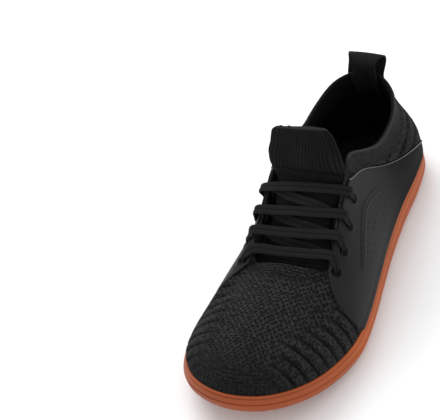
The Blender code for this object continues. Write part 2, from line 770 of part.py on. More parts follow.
def eyelet_nodes(side, turn):
    """Lace nodes through one eyelet, from the top of the eyestay to its underside."""
    rise = rise_below_edge(side * turn, EYELET_SETBACK)
    centre = upper_surface(side * turn, rise)
    out = upper_normal(side * turn, rise)
    inwards = upper_surface(side * turn, rise + 0.01) - centre
    inwards -= out * np.dot(inwards, out)
    inwards /= np.linalg.norm(inwards)
    under = KNIT_WALL + LACE_ROOM + LACE_THICKNESS / 2
    facings = {"out": out, "back": -inwards, "in": -out}
    nodes = []
    for reach, height, facing, width in EYELET_PATH:
        lift = height * (LACE_OVER if height > 0 else under)
        nodes.append((centre + inwards * reach * EYELET_DIAMETER / 2 + out * lift, facings[facing], width))
    return nodes


def bar_nodes(lateral, medial):
    """Lace nodes of a bar over the tongue, from its medial eyelet to its lateral one."""
    up = across_up(lateral, medial)
    start = off_upper(-medial, OVERLAY_TOP, LACE_OVER + 4 * GAP)
    end = off_upper(lateral, OVERLAY_TOP, LACE_OVER + 2 * GAP)
    nodes = [(start, upper_normal(-medial, OVERLAY_TOP), 1.0)]
    for share in BAR_SHARES:
        straight = start + (end - start) * (1 - share)
        under = across_tongue(lateral + (medial - lateral) * share, share)
        lift = np.dot(under - straight, up) + LACE_OVER
        nodes.append((straight + up * max(lift, 0.0), up, 1.0))
    nodes.append((end, upper_normal(lateral, OVERLAY_TOP), 1.0))
    return nodes


def diagonal_nodes(low, high):
    """Lace nodes under the lateral eyestay, up over the tongue and under the medial one."""
    below = LACE_ROOM + LACE_THICKNESS / 2
    nodes = [(inside_upper(low[0], 1.0, below), -upper_normal(low[0], 1.0), LACE_SQUEEZE)]
    for share in DIAGONAL_SHARES:
        turn = low[0] + (high[1] - low[0]) * share
        out = tongue_normal(turn, share)
        nodes.append((across_tongue(turn, share) + out * LACE_THICKNESS, -out, 1.0))
    nodes.append((inside_upper(-high[1], 1.0, below), -upper_normal(-high[1], 1.0), LACE_SQUEEZE))
    return nodes


def make_laces():
    """One flat lace: a bar across each pair of eyelets and a diagonal up to the next pair."""
    nodes = []
    for index, (lateral, medial) in enumerate(EYELETS):
        nodes += eyelet_nodes(-1, medial)[::-1]
        nodes += bar_nodes(lateral, medial)
        nodes += eyelet_nodes(1, lateral)
        if index + 1 < len(EYELETS):
            nodes += diagonal_nodes(EYELETS[index], EYELETS[index + 1])
    places = np.array([node[0] for node in nodes])
    facing = np.array([node[1] for node in nodes])
    spread = np.array([node[2] for node in nodes])
    walked = np.concatenate([[0], np.cumsum(np.linalg.norm(np.diff(places, axis=0), axis=1))])
    steps = []
    for start, end in zip(walked, walked[1:]):
        count = max(1, round((end - start) / LACE_STEP))
        steps += list(np.linspace(start, end, count, endpoint=False))
    steps = np.array(steps + [walked[-1]])
    path = through(walked, np.column_stack([places, facing, spread]), steps)
    place, face, share = path[:, :3], path[:, 3:6], path[:, 6]
    ahead = np.gradient(place, steps, axis=0)
    ahead /= np.linalg.norm(ahead, axis=1)[:, None]
    face -= ahead * np.sum(face * ahead, axis=1)[:, None]
    face /= np.linalg.norm(face, axis=1)[:, None]
    sideways = np.cross(ahead, face)
    half_width = share * LACE_WIDTH / 2
    half_thickness = LACE_THICKNESS / 2
    rings = []
    for across, up in ((1, 0), (0.8, 1), (-0.8, 1), (-1, 0), (-0.8, -1), (0.8, -1)):
        rings.append(place + sideways * (across * half_width)[:, None] + face * up * half_thickness)
    bm = bmesh.new()
    rows = rows_of(bm, np.moveaxis(np.array(rings), 0, 1))
    for first, second in zip(rows, rows[1:]):
        bridge(bm, first, second)
    bm.faces.new(rows[0])
    bm.faces.new(rows[-1])
    return add_object("laces", bm, "laces")


def main():
    clear_scene()
    make_outsole()
    make_insole()
    upper = make_upper()
    make_tongue()
    for name, side in (("lateral", 1), ("medial", -1)):
        overlay = make_overlay("overlay_" + name, side)
        punch_eyelets("eyelet_punch_" + name, side, (overlay, upper))
    make_pull_loop()
    make_laces()


main()
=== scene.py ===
# %% [markdown]
# # A barefoot shoe, dressed
#
# The solids of the shoe are the fixed frame. This lesson lays the looks over them:
# a knit with raised ribs, smooth side overlays, a ribbed tongue flap, a woven lace
# and a gum rubber sole. Every surface is made of grids whose points are placed by a
# function of two numbers, so each cell can be read and changed alone.
# Lengths are in metres. The toe points to -Y and the outer side of the shoe to +X.

# %% Load the frame
import math

import bmesh
import bpy
import numpy as np
from mathutils import Matrix, Vector


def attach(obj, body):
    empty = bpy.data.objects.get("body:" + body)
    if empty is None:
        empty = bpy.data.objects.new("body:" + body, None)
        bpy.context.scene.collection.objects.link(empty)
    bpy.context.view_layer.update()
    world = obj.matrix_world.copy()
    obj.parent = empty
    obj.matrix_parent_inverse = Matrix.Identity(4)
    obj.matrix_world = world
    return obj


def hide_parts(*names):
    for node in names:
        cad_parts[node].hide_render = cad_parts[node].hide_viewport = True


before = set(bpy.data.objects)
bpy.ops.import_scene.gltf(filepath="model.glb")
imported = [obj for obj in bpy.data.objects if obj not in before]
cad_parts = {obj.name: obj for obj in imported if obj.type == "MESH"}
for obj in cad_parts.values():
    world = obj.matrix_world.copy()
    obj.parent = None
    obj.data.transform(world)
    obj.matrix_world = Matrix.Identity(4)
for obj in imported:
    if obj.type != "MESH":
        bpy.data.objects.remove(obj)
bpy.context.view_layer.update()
MM = 0.001
print("nodes:", ", ".join(sorted(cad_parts)))

# %% [markdown]
# ## The last in numbers
#
# The same named sizes and tables as the solids. A "turn" is a place round the shoe:
# 0 at the toe tip, 1 at the heel, rising along the outer side and then back along
# the inner side to 2. A "rise" climbs the upper from the rim of the sole, 0, to the
# edge of the throat or collar, 1.

# %% Sizes
SHOE_LENGTH = 283 * MM
BALL_WIDTH = 101 * MM
HEEL_WIDTH = 77 * MM
INSTEP_HEIGHT = 97 * MM
COLLAR_HEIGHT = 71 * MM
TOE_SPRING = 23.5 * MM
HEEL_SPRING = 1.5 * MM

SOLE_WALL_HEIGHT = 22 * MM
SOLE_WALL = 3.4 * MM
SOLE_THICKNESS = 5.5 * MM
PAD_STEP = 1.0 * MM
PAD_DRAFT = 0.3 * MM
GROOVE_WIDTH = 2.2 * MM

KNIT_WALL = 1.8 * MM
COLLAR_WALL = 3.0 * MM
INSOLE_THICKNESS = 3.0 * MM
TONGUE_THICKNESS = 2.4 * MM
TONGUE_HEIGHT = 111 * MM
TONGUE_WIDTH = 40 * MM

OVERLAY_THICKNESS = 1.2 * MM
OVERLAY_SEAT = 0.45 * MM
BEAD_HEIGHT = 0.9 * MM
EYELET_DIAMETER = 5.6 * MM
EYELET_SETBACK = 10.5 * MM

LOOP_WIDTH = 25 * MM
LOOP_SHIFT = 2 * MM
LOOP_SEAT = 0.9 * MM
LOOP_TILT = 0.14
LOOP_THICKNESS = 1.3 * MM
LOOP_RISE = 14 * MM
LOOP_TAIL = 18 * MM
LOOP_BULGE = 1.8

LACE_WIDTH = 6.0 * MM
LACE_THICKNESS = 1.3 * MM
LACE_ROOM = 1.2 * MM
LACE_SQUEEZE = 0.7
LACE_LIFT = 1.1 * MM
LACE_OVER = OVERLAY_THICKNESS + LACE_LIFT + LACE_THICKNESS / 2
GAP = 0.35 * MM
BEND_LENGTH = 30 * MM
LOOP_POINTS = 2400

# %% Tables of the last
# Outline of the sole: along the length, and the lateral and medial shares of the width
OUTLINE = (
    (0.000, 0.000, 0.000),
    (0.030, 0.285, -0.278),
    (0.090, 0.445, -0.450),
    (0.180, 0.497, -0.500),
    (0.300, 0.494, -0.440),
    (0.420, 0.482, -0.345),
    (0.520, 0.482, -0.350),
    (0.620, 0.490, -0.440),
    (0.710, 0.490, -0.484),
    (0.800, 0.442, -0.491),
    (0.880, 0.362, -0.442),
    (0.945, 0.250, -0.332),
    (0.985, 0.124, -0.190),
    (1.000, -0.035, -0.035),
)
# Ribs of the last, from the rim of the sole to the edge of the throat or collar
RIB_COLUMNS = (
    "turn", "along", "lateral", "medial", "high_lateral", "high_medial",
    "flare", "rise", "reach", "dip",
)
RIBS = (
    (0.00, 0.672, -0.010, -0.010, 0.580, 0.580, 0.04, 0.60, 0.56, 0.20),
    (0.12, 0.668, 0.135, -0.132, 0.570, 0.545, 0.04, 0.54, 0.52, 0.20),
    (0.24, 0.652, 0.244, -0.216, 0.535, 0.500, 0.03, 0.42, 0.40, 0.22),
    (0.36, 0.606, 0.238, -0.240, 0.620, 0.590, 0.02, 0.36, 0.36, 0.26),
    (0.48, 0.544, 0.222, -0.250, 0.738, 0.710, 0.00, 0.36, 0.40, 0.34),
    (0.58, 0.486, 0.212, -0.252, 0.860, 0.835, 0.00, 0.38, 0.40, 0.40),
    (0.64, 0.442, 0.204, -0.248, 0.975, 0.955, 0.00, 0.38, 0.32, 0.42),
    (0.70, 0.366, 0.230, -0.270, 0.940, 0.945, 0.01, 0.38, 0.22, 0.40),
    (0.78, 0.281, 0.248, -0.274, 0.935, 0.970, 0.04, 0.40, 0.12, 0.36),
    (0.86, 0.189, 0.238, -0.272, 0.920, 0.960, 0.09, 0.44, 0.10, 0.34),
    (0.93, 0.114, 0.172, -0.238, 0.945, 0.965, 0.11, 0.46, 0.12, 0.34),
    (0.967, 0.076, 0.076, -0.156, 0.980, 0.985, 0.10, 0.46, 0.14, 0.34),
    (1.00, 0.062, -0.042, -0.042, 1.000, 1.000, 0.09, 0.46, 0.15, 0.34),
)
MEDIAL_SLACK = 0.34
# Height of the sole's wall: turn, height
WALL = (
    (0.00, 0.67),
    (0.25, 0.70),
    (0.42, 0.83),
    (0.58, 0.97),
    (0.72, 0.92),
    (0.86, 0.76),
    (1.00, 0.69),
)
# Side of the sole: inset, height
SIDE = (
    (2.50, 0.02),
    (1.50, 0.05),
    (0.75, 0.15),
    (0.22, 0.29),
    (0.00, 0.46),
    (0.00, 0.56),
    (0.20, 0.60),
    (0.08, 0.65),
    (0.26, 0.83),
    (0.46, 0.87),
    (0.40, 0.92),
    (0.62, 1.00),
    (1.00, 1.00),
)
# Tread pad: along, lateral, medial
PAD = (
    (0.050, 0.00, 0.00),
    (0.075, 0.20, -0.20),
    (0.130, 0.32, -0.34),
    (0.220, 0.32, -0.36),
    (0.330, 0.30, -0.16),
    (0.430, 0.31, -0.02),
    (0.540, 0.33, -0.02),
    (0.620, 0.35, -0.18),
    (0.700, 0.35, -0.36),
    (0.780, 0.30, -0.38),
    (0.850, 0.18, -0.30),
    (0.890, -0.06, -0.06),
)
# Grooves across the tread pad: along, lateral, medial, bow
GROOVES = (
    (0.175, 0.36, -0.40, 0.020),
    (0.275, 0.36, -0.34, 0.022),
    (0.630, 0.40, -0.26, 0.022),
    (0.735, 0.40, -0.44, 0.024),
)
# Eyelets: lateral turn, medial turn
EYELETS = (
    (0.320, 0.303),
    (0.400, 0.376),
    (0.475, 0.450),
    (0.550, 0.524),
)
OVERLAY_FRONT = (0.375, 0.252)
OVERLAY_REAR = (0.870, 0.595)
OVERLAY_TOP = 0.985
OVERLAY_CORNER = 0.12
print("tables:", len(OUTLINE), "outline rows,", len(RIBS), "ribs")

# %% [markdown]
# ## Curves through the tables
#
# A smooth curve through the rows gives the outline in plan, and a cubic between the
# rim and the edge gives each rib of the upper.

# %% Surface functions
def ease(share):
    """Smooth step from 0 to 1."""
    share = np.clip(share, 0.0, 1.0)
    return share * share * (3 - 2 * share)


def ramp(value, low, high):
    """0 up to low, 1 from high, smooth between them."""
    return ease((value - low) / (high - low))


def window(value, start, full, fade, end):
    """0 up to the start, 1 from full to fade, 0 again from the end."""
    return ramp(value, start, full) * (1 - ramp(value, fade, end))


def hump(value, middle, reach):
    """1 in the middle, falling smoothly towards 0 on both sides."""
    return np.exp(-(((value - middle) / reach) ** 2))


def walk(points):
    """Distance walked along a row of points."""
    return np.concatenate([[0], np.cumsum(np.linalg.norm(np.diff(points, axis=0), axis=1))])


def through(knots, values, at, period=None):
    """Smooth curve through values at rising knots, closed after a period if one is given."""
    knots = np.asarray(knots, float)
    values = np.asarray(values, float)
    at = np.asarray(at, float)
    if period:
        knots = np.concatenate([knots[-2:] - period, knots, knots[:2] + period])
        values = np.concatenate([values[-2:], values, values[:2]])
        at = np.mod(at - knots[2], period) + knots[2]
    slopes = np.empty_like(values)
    slopes[1:-1] = (values[2:] - values[:-2]) / (knots[2:] - knots[:-2])[:, None]
    slopes[0] = (values[1] - values[0]) / (knots[1] - knots[0])
    slopes[-1] = (values[-1] - values[-2]) / (knots[-1] - knots[-2])
    span = np.clip(np.searchsorted(knots, at, side="right") - 1, 0, len(knots) - 2)
    width = (knots[span + 1] - knots[span])[..., None]
    t = (at - knots[span])[..., None] / width
    start = (2 * t**3 - 3 * t**2 + 1) * values[span] + (t**3 - 2 * t**2 + t) * width * slopes[span]
    end = (3 * t**2 - 2 * t**3) * values[span + 1] + (t**3 - t**2) * width * slopes[span + 1]
    return start + end


def width_at(along):
    return HEEL_WIDTH + (BALL_WIDTH - HEEL_WIDTH) * ease((along - 0.2) / 0.5)


def ground_at(y):
    """Height of the sole's underside: flat, lifting at the toe and a little at the heel."""
    along = 0.5 - y / SHOE_LENGTH
    toe = np.clip((along - 0.66) / 0.34, 0, None)
    heel = np.clip((0.10 - along) / 0.10, 0, None)
    return TOE_SPRING * toe**2 + HEEL_SPRING * heel**2


def loop_points(table):
    """Points of a closed outline from a table of rows, toe tip first, then down the lateral side."""
    places = [(along, lateral) for along, lateral, medial in table[::-1]]
    places += [(along, medial) for along, lateral, medial in table[1:-1]]
    return np.array([(across * width_at(along), (0.5 - along) * SHOE_LENGTH) for along, across in places])


def turned(points, heel_index):
    """The closed curve through the points, as turns, places and outward directions."""
    steps = np.linalg.norm(np.roll(points, -1, axis=0) - points, axis=1) ** 0.5
    knots = np.concatenate([[0], np.cumsum(steps)])
    fine = np.linspace(0, knots[-1], LOOP_POINTS + 1)
    heel_knot = knots[heel_index]
    place = through(knots[:-1], points, fine, period=knots[-1])
    ahead = np.gradient(place, axis=0)
    ahead /= np.linalg.norm(ahead, axis=1)[:, None]
    outward = np.stack([ahead[:, 1], -ahead[:, 0]], axis=1)
    lengths = np.linalg.norm(np.diff(place, axis=0), axis=1)
    angles = np.linalg.norm(np.diff(ahead, axis=0), axis=1)
    walked = np.concatenate([[0], np.cumsum(lengths + BEND_LENGTH * angles)])
    heel_walk = np.interp(heel_knot, fine, walked)
    turns = np.where(
        walked <= heel_walk,
        walked / heel_walk,
        1 + (walked - heel_walk) / (walked[-1] - heel_walk),
    )
    return turns, place, outward


EDGE_TURNS, EDGE_PLACES, EDGE_OUTWARD = turned(loop_points(OUTLINE), len(OUTLINE) - 1)
PAD_TURNS, PAD_PLACES, PAD_OUTWARD = turned(loop_points(PAD), len(PAD) - 1)


def read_loop(turns, columns, turn):
    turn = np.mod(np.asarray(turn, float), 2.0)
    return np.stack([np.interp(turn, turns, columns[:, i]) for i in range(2)], axis=-1)


def outline(turn, inset):
    """Point in plan on the sole's outline, moved inwards."""
    place = read_loop(EDGE_TURNS, EDGE_PLACES, turn)
    outward = read_loop(EDGE_TURNS, EDGE_OUTWARD, turn)
    outward = outward / np.linalg.norm(outward, axis=-1, keepdims=True)
    return place - outward * np.asarray(inset)[..., None], outward


def mirrored_rows(table, lateral_columns, medial_columns):
    """Rows round the whole loop: the lateral columns from toe to heel, then the medial ones back."""
    knots = [row[0] for row in table] + [2 - row[0] for row in table[-2:0:-1]]
    values = [[row[i] for i in lateral_columns] for row in table]
    values += [[row[i] for i in medial_columns] for row in table[-2:0:-1]]
    return knots, values


def wall_height(turn):
    knots, values = mirrored_rows(WALL, (1,), (1,))
    return SOLE_WALL_HEIGHT * through(knots, values, turn, period=2)[..., 0]


def rib_columns(across, high):
    """Places of a side's columns in the table of ribs."""
    return [RIB_COLUMNS.index(name) for name in ("along", across, high, "flare", "rise", "reach", "dip")]


RIB_KNOTS, RIB_VALUES = mirrored_rows(
    RIBS, rib_columns("lateral", "high_lateral"), rib_columns("medial", "high_medial")
)
UPPER_INSET = SOLE_WALL + GAP


def upper_surface(turn, rise):
    """Outer surface of the upper: rise 0 is just over the sole's rim and 1 is the edge."""
    turn, rise = np.broadcast_arrays(np.asarray(turn, float), np.asarray(rise, float))
    row = through(RIB_KNOTS, RIB_VALUES, np.mod(turn, 2.0), period=2)
    along, across, high, flare, lift, reach, dip = np.moveaxis(row, -1, 0)
    lift = lift * (1 - MEDIAL_SLACK * np.clip(-np.sin(np.pi * turn), 0, 1))
    back = ease((1 - np.abs(np.mod(turn + 1, 2.0) - 1) - 0.20) / 0.20)
    local_height = COLLAR_HEIGHT + (INSTEP_HEIGHT - COLLAR_HEIGHT) * back
    edge = np.stack([across * BALL_WIDTH, (0.5 - along) * SHOE_LENGTH, high * local_height], axis=-1)
    plan, outward = outline(turn, np.full(turn.shape, UPPER_INSET))
    foot_z = ground_at(plan[..., 1]) + wall_height(turn) + GAP
    foot = np.concatenate([plan, foot_z[..., None]], axis=-1)
    climb = edge[..., 2] - foot[..., 2]
    out = np.concatenate([outward, np.zeros_like(foot_z)[..., None]], axis=-1)
    up = np.array([0.0, 0.0, 1.0])
    run = (foot - edge) * np.array([1.0, 1.0, 0.0])
    low_handle = foot + out * (flare * climb)[..., None] + up * (lift * climb)[..., None]
    high_handle = edge + run * reach[..., None] - up * (dip * climb)[..., None]
    t = rise[..., None]
    low_half = (1 - t) ** 3 * foot + 3 * t * (1 - t) ** 2 * low_handle
    return low_half + 3 * t**2 * (1 - t) * high_handle + t**3 * edge


def upper_normal(turn, rise):
    """Outward direction of the upper's surface."""
    small = 0.002
    turn, rise = np.broadcast_arrays(np.asarray(turn, float), np.asarray(rise, float))
    round_it = upper_surface(turn + small, rise) - upper_surface(turn - small, rise)
    above, below = np.minimum(rise + small, 1), np.maximum(rise - small, 0)
    climbing = upper_surface(turn, above) - upper_surface(turn, below)
    out = np.cross(round_it, climbing)
    return out / np.linalg.norm(out, axis=-1, keepdims=True)


def upper_wall(turn, rise):
    """Thickness of the upper: thin knit, thicker where the collar is padded."""
    turn = np.abs(np.mod(np.asarray(turn, float) + 1, 2.0) - 1)
    padded = ease((turn - 0.62) / 0.1) * ease((np.asarray(rise, float) - 0.45) / 0.4)
    return KNIT_WALL + (COLLAR_WALL - KNIT_WALL) * padded


def rise_below_edge(turn, distance):
    """Rise of the point on a rib that lies a distance below the upper's edge."""
    rises = np.linspace(0, 1, 60)
    walked = walk(upper_surface(turn, rises))
    return float(np.interp(walked[-1] - distance, walked, rises))


def off_upper(turn, rise, outwards):
    """Point at a distance outside the upper's outer surface."""
    turn, rise, outwards = np.broadcast_arrays(turn, rise, outwards)
    return upper_surface(turn, rise) + upper_normal(turn, rise) * outwards[..., None]


def inside_upper(turn, rise, inwards):
    """Point at a distance inside the upper's inner surface."""
    return off_upper(turn, rise, -(upper_wall(turn, rise) + inwards))


print("upper edge at the heel, mm:", np.round(upper_surface(1.0, 1.0) / MM, 1))

# %% [markdown]
# ## Grids
#
# A piece is one or more grids. `add_grid` takes a table of points, one row after
# another, and moves the vertices of a flat grid there. It keeps the place of every
# point in metres as a UV map, and its marks, such as how deep a groove is, as
# attributes that a material can read.

# %% Grid helpers
WELD_DISTANCE = 0.02 * MM
RIM_STEPS = 5


def start_piece(marks=()):
    """An empty mesh with a UV map and an attribute for each mark."""
    bm = bmesh.new()
    bm.loops.layers.uv.new("metres")
    for mark in marks:
        bm.verts.layers.float.new(mark)
    return bm


def add_grid(bm, points, flat, marks=None):
    """Adds a grid of faces whose vertices stand at the given points."""
    rows, columns = points.shape[:2]
    made = bmesh.ops.create_grid(bm, x_segments=columns - 1, y_segments=rows - 1, size=0.5)["verts"]
    spots = np.array([vert.co[:2] for vert in made])
    shares = (spots - spots.min(axis=0)) / (spots.max(axis=0) - spots.min(axis=0))
    column = np.rint(shares[:, 0] * (columns - 1)).astype(int)
    row = np.rint(shares[:, 1] * (rows - 1)).astype(int)
    layers = [(bm.verts.layers.float[name], values) for name, values in (marks or {}).items()]
    for vert, r, c in zip(made, row, column):
        vert.co = points[r, c]
        for layer, values in layers:
            vert[layer] = values[r, c]
    place = {vert: flat[r, c] for vert, r, c in zip(made, row, column)}
    uv = bm.loops.layers.uv["metres"]
    for face in {face for vert in made for face in vert.link_faces}:
        for corner in face.loops:
            corner[uv].uv = place[corner.vert]


def hang(name, data):
    """A new object in the scene."""
    made = bpy.data.objects.new(name, data)
    bpy.context.scene.collection.objects.link(made)
    return made


def weld(bm):
    bmesh.ops.remove_doubles(bm, verts=bm.verts[:], dist=WELD_DISTANCE)


def finish_piece(name, bm, look, node):
    """Welds and faces the mesh, and hangs it on the frame in place of a node."""
    weld(bm)
    bmesh.ops.recalc_face_normals(bm, faces=bm.faces[:])
    mesh = bpy.data.meshes.new(name)
    bm.to_mesh(mesh)
    bm.free()
    mesh.shade_smooth()
    piece = hang(name, mesh)
    mesh.materials.append(look)
    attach(piece, "root")
    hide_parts(node)
    print(f"{name}: {len(mesh.vertices)} points, {len(mesh.polygons)} faces")


def normals_of(points):
    """Directions square to a grid of points."""
    out = np.cross(np.gradient(points, axis=1), np.gradient(points, axis=0))
    return out / np.maximum(np.linalg.norm(out, axis=-1, keepdims=True), 1e-9)


def rounded_steps(length, rim, count):
    """Shares of a length, close together at its two rounded ends, and how full the edge is there."""
    angles = np.linspace(0, math.pi / 2, RIM_STEPS)
    near = (1 - np.cos(angles)) * rim / length
    inner = np.linspace(near[-1], 1 - near[-1], count)[1:-1]
    shares = np.concatenate([near, inner, 1 - near[::-1]])
    full = np.concatenate([np.sin(angles), np.ones(len(inner)), np.sin(angles)[::-1]])
    return shares, full


def rounded_sheet(width, length, rim, columns, rows):
    """Shares across and along a sheet with rounded edges, and how full it is at each point."""
    across, across_full = rounded_steps(width, rim, columns)
    along, along_full = rounded_steps(length, rim, rows)
    return across, along, np.minimum(*np.meshgrid(across_full, along_full))


def smooth_net(net, knots, walked, across, along):
    """Grid of points on smooth curves through a net, at shares of its width and its length."""
    rows = np.array([through(knots, row, across) for row in net])
    grid = through(walked, rows.reshape(len(rows), -1), along * walked[-1])
    return grid.reshape(len(along), len(across), 3)


def flat_map(points):
    """Place in metres of each point of a grid, along its middle row and middle column."""
    across = walk(points[len(points) // 2])
    along = walk(points[:, points.shape[1] // 2])
    return np.stack(np.meshgrid(across, along), axis=-1)


def add_sheet(bm, middle, full, thickness, raised=0.0, side=1, marks=None):
    """Adds a closed sheet round a middle surface, with rounded edges and a relief on its outside."""
    out = normals_of(middle) * side
    half = thickness / 2 * full
    flat = flat_map(middle)
    add_grid(bm, middle + out * (half + raised)[..., None], flat, marks)
    add_grid(bm, middle - out * half[..., None], flat, marks)


# %% [markdown]
# ## Materials
#
# A `Look` holds one material. Its `node` method makes any node, and a `Value` stands
# for a socket, so that a pattern reads as a sum: adding two values adds a Math node.

# %% Material helpers
# Two near blacks that several looks share, both painted shade: the first for the knit's toe and inside and
# for the tongue under the laces, the second for the pinholes, the eyelet hollows and the tongue's rib
# grooves and seam
SHADE = (0.003, 0.003, 0.003)
DEEP_SHADE = (0.002, 0.002, 0.002)


class Value:
    """A number on a node's socket; sums and products of values add Math nodes."""

    def __init__(self, look, socket):
        self.look = look
        self.socket = socket

    def math(self, operation, *others):
        return self.look.node("ShaderNodeMath", {"operation": operation}, (self, *others))

    def __add__(self, other):
        return self.math("ADD", other)

    def __sub__(self, other):
        return self.math("SUBTRACT", other)

    def __rsub__(self, other):
        return (self * -1.0) + other

    def __mul__(self, other):
        return self.math("MULTIPLY", other)

    def __truediv__(self, other):
        return self.math("DIVIDE", other)

    __radd__ = __add__
    __rmul__ = __mul__

    def fraction(self):
        return self.math("FRACT")

    def size(self):
        return self.math("ABSOLUTE")

    def wave(self, pitch):
        """0 to 1 and back, once in each pitch."""
        return (self / pitch * (2 * math.pi)).math("SINE") * 0.5 + 0.5

    def most(self, other):
        return self.math("MAXIMUM", other)

    def between(self, low, high):
        """0 at low, 1 at high, smooth between them; high may be the lower of the two."""
        settings = {"interpolation_type": "SMOOTHSTEP"}
        inputs = {"Value": self, "From Min": low, "From Max": high, "To Min": 0.0, "To Max": 1.0}
        return self.look.node("ShaderNodeMapRange", settings, inputs)


class Look:
    """One material with a Principled shader."""

    def __init__(self, name, **constants):
        self.material = bpy.data.materials.new(name)
        self.material.use_nodes = True
        self.nodes = self.material.node_tree.nodes
        self.links = self.material.node_tree.links
        self.shader = self.nodes["Principled BSDF"]
        for socket, value in constants.items():
            self.shader.inputs[socket.replace("_", " ")].default_value = value

    def node(self, kind, settings=None, inputs=(), output=0):
        """Makes a node, sets it up, and fills its sockets with numbers or links."""
        made = self.nodes.new(kind)
        for name, value in (settings or {}).items():
            setattr(made, name, value)
        pairs = inputs.items() if isinstance(inputs, dict) else enumerate(inputs)
        for key, value in pairs:
            if isinstance(value, Value):
                self.links.new(value.socket, made.inputs[key])
            else:
                made.inputs[key].default_value = value
        return Value(self, made.outputs[output])

    def place(self):
        """The point on the piece, in metres."""
        return self.node("ShaderNodeTexCoord", output="Object")

    def flat(self):
        """Place across and along the piece's grid, in metres."""
        spot = self.node("ShaderNodeUVMap", {"uv_map": "metres"})
        return self.parts(spot)[:2]

    def parts(self, vector):
        split = self.node("ShaderNodeSeparateXYZ", inputs=(vector,))
        return [Value(self, socket) for socket in split.socket.node.outputs]

    def mark(self, name):
        return self.node("ShaderNodeAttribute", {"attribute_name": name}, output="Fac")

    def noise(self, place, scale, detail=2.0):
        inputs = {"Vector": place, "Scale": scale, "Detail": detail}
        return self.node("ShaderNodeTexNoise", inputs=inputs)

    def blend(self, share, first, second):
        """Colour between two colours."""
        # Sockets 6 and 7 of a Mix node are its two colours, and output 2 is the mixed one
        inputs = {0: share, 6: self.colour(first), 7: self.colour(second)}
        return self.node("ShaderNodeMix", {"data_type": "RGBA"}, inputs, output=2)

    def colour(self, colour):
        return colour if isinstance(colour, Value) else (*colour, 1.0)

    def dots(self, across, along, across_pitch, along_pitch, low, high):
        """1 inside small round dots in staggered rows, 0 outside them."""
        row = along / along_pitch
        shift = (row.math("FLOOR") * 0.5).fraction()
        x = ((across / across_pitch + shift).fraction() - 0.5) * across_pitch
        y = (row.fraction() - 0.5) * along_pitch
        return (x * x + y * y).math("SQRT").between(high, low)

    def finish(self, colour, roughness, bump, depth):
        """Links what varies over the surface to the shader."""
        normal = self.node("ShaderNodeBump", inputs={"Height": bump, "Distance": depth, "Strength": 1.0})
        self.links.new(colour.socket, self.shader.inputs["Base Color"])
        self.links.new(normal.socket, self.shader.inputs["Normal"])
        if roughness is not None:
            self.links.new(roughness.socket, self.shader.inputs["Roughness"])
        return self.material


# %% [markdown]
# ## Knit upper
#
# The knit is one closed wall: up the outside, over the rim and down inside. Ribs stand
# out of it: upright ones round the forefoot, level ones round the heel. They fade into
# small holes over the vamp, and there are none where an overlay lies.

# %% Relief of the knit
RIB_HEIGHT = 1.6 * MM
FRONT_RIB_PITCH = 8.0 * MM
HEEL_RIB_PITCH = 9.4 * MM
HEEL_RIB_SHIFT = 1.2 * MM
RIB_GROOVE = 0.40
RIB_LEAN = 0.12
HEEL_GROOVE_SHADE = 0.4
MEDIAL_RIBS = 0.16
FOOT_BULGE = 1.0 * MM
TAB_HEIGHT = 0.9 * MM
# How far inside and outside an overlay's edge the ribs run out, in turns
UNDER_EDGE = 0.012
BESIDE_EDGE = 0.004
# Ranges of rises, or of places from the toe, over which a pattern comes in or fades.
# With four numbers it comes in over the first two and fades over the last two.
BULGE_FADES = (0.0, 0.12)
TOE_TO_RIBS = (0.085, 0.170)
RIM_TO_RIBS = (0.0, 0.09)
FRONT_RIBS_FADE = (0.38, 0.72)
HEEL_RIB_RISES = (0.0, 0.05, 0.66, 0.76)
TAB_PLACE = (0.598, 0.606, 0.632, 0.640)
TAB_RISES = (0.70, 0.76)


def from_toe(turn):
    """0 at the toe and 1 at the heel on either side."""
    return np.abs(np.mod(turn + 1, 2.0) - 1)


def foot_bulge(rise):
    """How far the upper bulges over the sole's rim."""
    return FOOT_BULGE * (1 - ramp(rise, *BULGE_FADES))


def overlay_edges(rise):
    """Places of an overlay's front and rear edge at a rise, from the toe."""
    return [low + (high - low) * rise for low, high in (OVERLAY_FRONT, OVERLAY_REAR)]


def ribbed(distance, pitch):
    """1 on top of rounded ribs, 0 in the grooves between them."""
    phase = np.mod(distance / pitch, 1.0)
    beside = np.minimum(phase, 1 - phase) / (RIB_GROOVE / 2)
    return ease(beside)


def knit_relief(turn, rise):
    """Height of the ribs and how deep in a groove each point is."""
    place = upper_surface(turn, rise)
    side = from_toe(turn)
    front, rear = overlay_edges(rise / OVERLAY_TOP)
    bare = 1 - window(side, front - BESIDE_EDGE, front + UNDER_EDGE, rear - UNDER_EDGE, rear + BESIDE_EDGE)
    before = (1 - ramp(side, front + 0.02, front + 0.05)) * ramp(side, *TOE_TO_RIBS)
    behind = ramp(side, rear - 0.02, rear)
    higher = MEDIAL_RIBS * ease(-np.sin(np.pi * turn) * 2)
    front_zone = before * (1 - ramp(rise - higher, *FRONT_RIBS_FADE))
    heel_zone = behind * window(rise, *HEEL_RIB_RISES)
    front_ribs = ribbed(place[..., 1] + RIB_LEAN * place[..., 2], FRONT_RIB_PITCH)
    heel_ribs = ribbed(place[..., 2] + HEEL_RIB_SHIFT, HEEL_RIB_PITCH)
    ribs = ramp(rise, *RIM_TO_RIBS) * (front_zone * front_ribs + heel_zone * heel_ribs)
    tab = window(side, *TAB_PLACE) * ramp(rise, *TAB_RISES)
    groove = front_zone * (1 - front_ribs) + HEEL_GROOVE_SHADE * heel_zone * (1 - heel_ribs)
    return RIB_HEIGHT * bare * ribs + TAB_HEIGHT * tab, bare * groove


